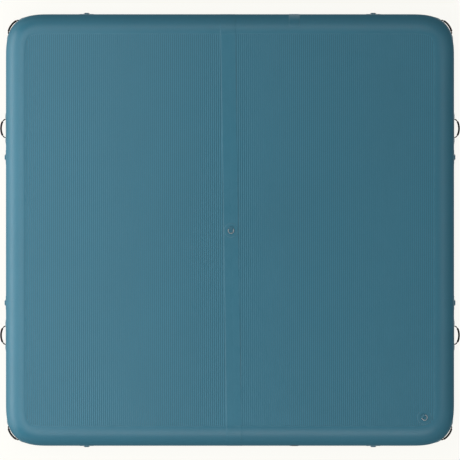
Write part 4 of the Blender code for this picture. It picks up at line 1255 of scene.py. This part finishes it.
def make_valve_body(material):
    under = -BOWL_DEPTH - BOWL_FLOOR
    profile = rounded(
        [
            (BARREL_RADIUS, FLANGE_PROUD),
            (BARREL_RADIUS, -BARREL_DEPTH),
            (BARREL_BORE, -BARREL_DEPTH),
            (BARREL_BORE, under),
            (STEM_HOLE, under),
            (STEM_HOLE, -BOWL_DEPTH),
            (BOWL_RADIUS, -BOWL_DEPTH),
            (BOWL_RADIUS, -MOUTH_DEPTH),
            (MOUTH_RADIUS, -MOUTH_DEPTH),
            (MOUTH_RADIUS, FLANGE_PROUD),
        ],
        VALVE_ROUND,
    )
    barrel = lathe(profile)
    barrel = (valve_place(barrel[0]), *barrel[1:])
    rim = FLANGE_RADIUS - np.array([0, 0.0002, 0.0006, 0.0012])
    radii = np.concatenate([rim, np.linspace(0.0225, 0.0168, 14)])
    radius, turn, faces = disc_grid(radii, 96)
    x, y = radius * np.cos(turn), radius * np.sin(turn)
    inside = FLANGE_RADIUS - radius
    face = FLANGE_PROUD - 0.0008 * (1 - smooth_step(inside, 0, FLANGE_RIM))
    face = face - FLANGE_GROOVE * (np.abs(radius - FLANGE_GROOVE_AT) < 0.0005)
    high = valve_place(np.stack([x, y, face], axis=2))
    flange = sheet(faces, x, y, saddle(x, y, SEAT), high)
    shape = joined([barrel, flange])
    radial = np.hypot(shape[0][:, 0] - VALVE_X, shape[0][:, 2] - RAIL)
    outermost = shape[0][:, 1] < -HALF_WIDTH - FLANGE_PROUD * 0.5
    worn = np.exp(-(((radial - FLANGE_RADIUS) / FLANGE_RIM) ** 2)) * outermost
    make_piece("valve_body", shape, material, sharp=35, marks={"worn": worn})


def make_valve_cap(material):
    """The cap: a disc with two finger pockets on either side of a bar."""
    edge = CAP_RADIUS - np.array([0, 0.0001, 0.0003, 0.0006])
    radii = np.concatenate([edge, np.linspace(0.0131, DISC_HOLE, 48)])
    radius, turn, faces = disc_grid(radii, 120)
    x, y = radius * np.cos(turn), radius * np.sin(turn)
    within = np.minimum(CAP_POCKET - radius, np.abs(x) - CAP_BAR / 2)
    pocket = smooth_step(within, -0.0002, 0.0012)
    rim = 1 - smooth_step(CAP_RADIUS - radius, 0, CAP_RIM)
    face = CAP_PROUD - 0.0005 * rim - (CAP_POCKET_DEPTH - 0.0001) * pocket
    ribs = CAP_RIB * (np.sin(y * 2 * math.pi / CAP_RIB_PITCH) > 0.2)
    ribs = ribs * (np.abs(x) < CAP_BAR / 2 - 0.0005)
    face = face + ribs * (np.abs(y) < CAP_RIB_REACH) - CAP_RIB
    high = valve_place(np.stack([x, y, face], axis=2))
    low = valve_place(np.stack([x, y, np.full_like(x, -CAP_BACK)], axis=2))
    shape = sheet(faces, x, y, low, high)
    worn = np.concatenate([np.zeros(x.size), (rim + ribs * 3000).ravel().clip(0, 1)])
    name = "valve_cap"
    make_piece(name, shape, material, name, sharp=35, marks={"worn": worn})


def make_valve_spring(material):
    """The stem's spring, a fixed wire coil as long as the CAD spring; the real one flattens onto the
    bowl's floor as the stem is pushed in.
    """
    low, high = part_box("valve_spring")
    wire = SPRING_WIRE / 2
    head, foot = low[1] + HALF_WIDTH + wire, high[1] + HALF_WIDTH - wire
    share = np.linspace(0, 1, SPRING_TURNS * 24 + 1)
    turn = 2 * math.pi * SPRING_TURNS * share
    depth = foot + (head - foot) * share
    around = full_turn(10)
    radius = SPRING_RADIUS + wire * np.cos(around)
    x, y = radius * np.cos(turn)[:, None], radius * np.sin(turn)[:, None]
    shape = loft(valve_place(np.stack([x, y, wire * np.sin(around) - depth[:, None]], axis=2)))
    spring = make_piece("valve_spring", shape, material)
    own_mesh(spring)


def dress_cad_nodes(materials):
    """Gives the CAD nodes that stay their node-based materials."""
    kept = {
        "drop_stitch_yarns": "yarn",
        "valve_backing_nut": "valve",
        "valve_stem": "valve",
        "valve_seal": "seal",
        "valve_cap_seal": "seal",
    }
    for name, finish in kept.items():
        node = frame["nodes"][name]
        for place in node.material_slots:
            place.link = "OBJECT"
            place.material = materials[finish]


# Stage
PIXELS = 460
METRES_PER_PIXEL = 0.005446
CAMERA_HEIGHT = 40.0
BACKGROUND = (0.991, 0.982, 0.939, 1.0)
WORLD_STRENGTH = 0.16
FLOOR_REACH, FLOOR_DROP = 60.0, 0.0005
# name: (place, what it faces, width, height, watts)
LAMPS = {
    "Above_left": ((-2.0, 0.0, 3.2), (-1.8, 0.0, 0.0), 5.0, 1.2, 66.0),
    "High_right": ((4.5, 0.0, 3.5), (0.3, 0.0, 0.0), 5.0, 2.5, 60.0),
    "High_front": ((0.0, -3.8, 4.2), (0.0, -0.3, 0.0), 5.0, 2.5, 122.0),
    "High_back": ((0.0, 3.8, 4.2), (0.0, 0.3, 0.0), 5.0, 2.5, 74.0),
    "Left_middle": ((-3.6, 0.0, 2.3), (-1.1, 0.0, 0.1), 5.0, 1.6, 32.0),
    "Left_low": ((-4.2, 0.0, 0.55), (-1.0, 0.0, 0.1), 5.0, 1.0, 105.0),
}


def make_camera():
    data = bpy.data.cameras.new("Camera")
    data.sensor_width = 36.0
    width = PIXELS * METRES_PER_PIXEL
    data.lens = data.sensor_width * (CAMERA_HEIGHT - RAIL) / width
    data.clip_end = 200.0
    camera = add_object("Camera", data)
    camera.location = (0.0, 0.0, CAMERA_HEIGHT)
    bpy.context.scene.camera = camera


def seen_share(graph):
    """1 for rays from the camera, mirrors and glass, and 0 for the light that bounces."""
    path = graph.nodes.new("ShaderNodeLightPath")
    seen = graph.math("MAXIMUM", path.outputs["Is Camera Ray"], path.outputs["Is Glossy Ray"])
    return graph.math("MAXIMUM", seen, path.outputs["Is Transmission Ray"])


def make_floor():
    """A pale floor that keeps a soft shadow."""
    graph = Graph("Floor")
    place = graph.place()
    tint = graph.noise(place, 0.8, 3.0)
    bounce = graph.add(
        "ShaderNodeBsdfDiffuse",
        {"Color": graph.mix(graph.span(tint, 0.3, 0.7), grey(0.26), grey(0.28))},
    )
    pale = graph.add("ShaderNodeBsdfDiffuse", {"Color": (0.95, 0.94, 0.90, 1.0)})
    glow = graph.add("ShaderNodeEmission", {"Color": BACKGROUND, "Strength": 1.0})
    shown = graph.nodes.new("ShaderNodeMixShader")
    shown.inputs[0].default_value = 0.92
    graph.feed(shown.inputs[1], pale)
    graph.feed(shown.inputs[2], glow)
    both = graph.nodes.new("ShaderNodeMixShader")
    graph.feed(both.inputs[0], seen_share(graph))
    graph.feed(both.inputs[1], bounce)
    graph.feed(both.inputs[2], shown.outputs[0])
    graph.feed(graph.nodes["Material Output"].inputs["Surface"], both.outputs[0])
    mesh = bpy.data.meshes.new("floor")
    corners = [(x * FLOOR_REACH, y * FLOOR_REACH, 0) for x, y in ((-1, -1), (1, -1), (1, 1), (-1, 1))]
    mesh.from_pydata(corners, [], [(0, 1, 2, 3)])
    mesh.materials.append(graph.material)
    floor = add_object("floor", mesh)
    floor.location.z = -FLOOR_DROP


def make_world():
    world = bpy.data.worlds.new("Studio")
    bpy.context.scene.world = world
    world.use_nodes = True
    nodes = world.node_tree.nodes
    shade = nodes["Background"]
    shade.inputs["Color"].default_value = (0.95, 0.97, 1.0, 1.0)
    shade.inputs["Strength"].default_value = WORLD_STRENGTH


def make_lamp(name, place, aim, width, height, power):
    data = bpy.data.lights.new(name, "AREA")
    data.shape = "RECTANGLE"
    data.size, data.size_y, data.energy = width, height, power
    lamp = add_object(name, data)
    lamp.location = place
    lamp.rotation_mode = "QUATERNION"
    lamp.rotation_quaternion = (Vector(aim) - Vector(place)).to_track_quat("-Z", "Y")


def make_lights():
    for name, (place, aim, width, height, power) in LAMPS.items():
        make_lamp(name, place, aim, width, height, power)


def main():
    materials = make_materials()
    make_camera()
    make_floor()
    make_world()
    make_lights()
    for side, way in (("left", -1), ("right", 1)):
        make_panel(f"deck_panel_{side}", way, 1, materials["deck"])
        make_panel(f"bottom_panel_{side}", way, -1, materials["bottom"])
    make_seam_tape("deck_seam_tape", 1, materials["tape"])
    make_seam_tape("bottom_seam_tape", -1, materials["tape"])
    make_side_wall(materials["wall"])
    make_joint_strap(materials["wall"])
    for name in (*DECK_RINGS, *SIDE_RINGS):
        make_ring_patch(name, materials)
        make_ring(name, materials["steel"])
    for name in SIDE_HANDLES:
        make_handle(name, SIDE_SPAN, SIDE_REACH, materials)
    for name in CORNER_HANDLES:
        make_handle(name, CORNER_SPAN, CORNER_LOOP_REACH, materials)
    make_valve_body(materials["valve"])
    make_valve_cap(materials["valve"])
    make_valve_spring(materials["spring"])
    dress_cad_nodes(materials)


main()
bpy.context.scene.view_settings.view_transform = "Standard"
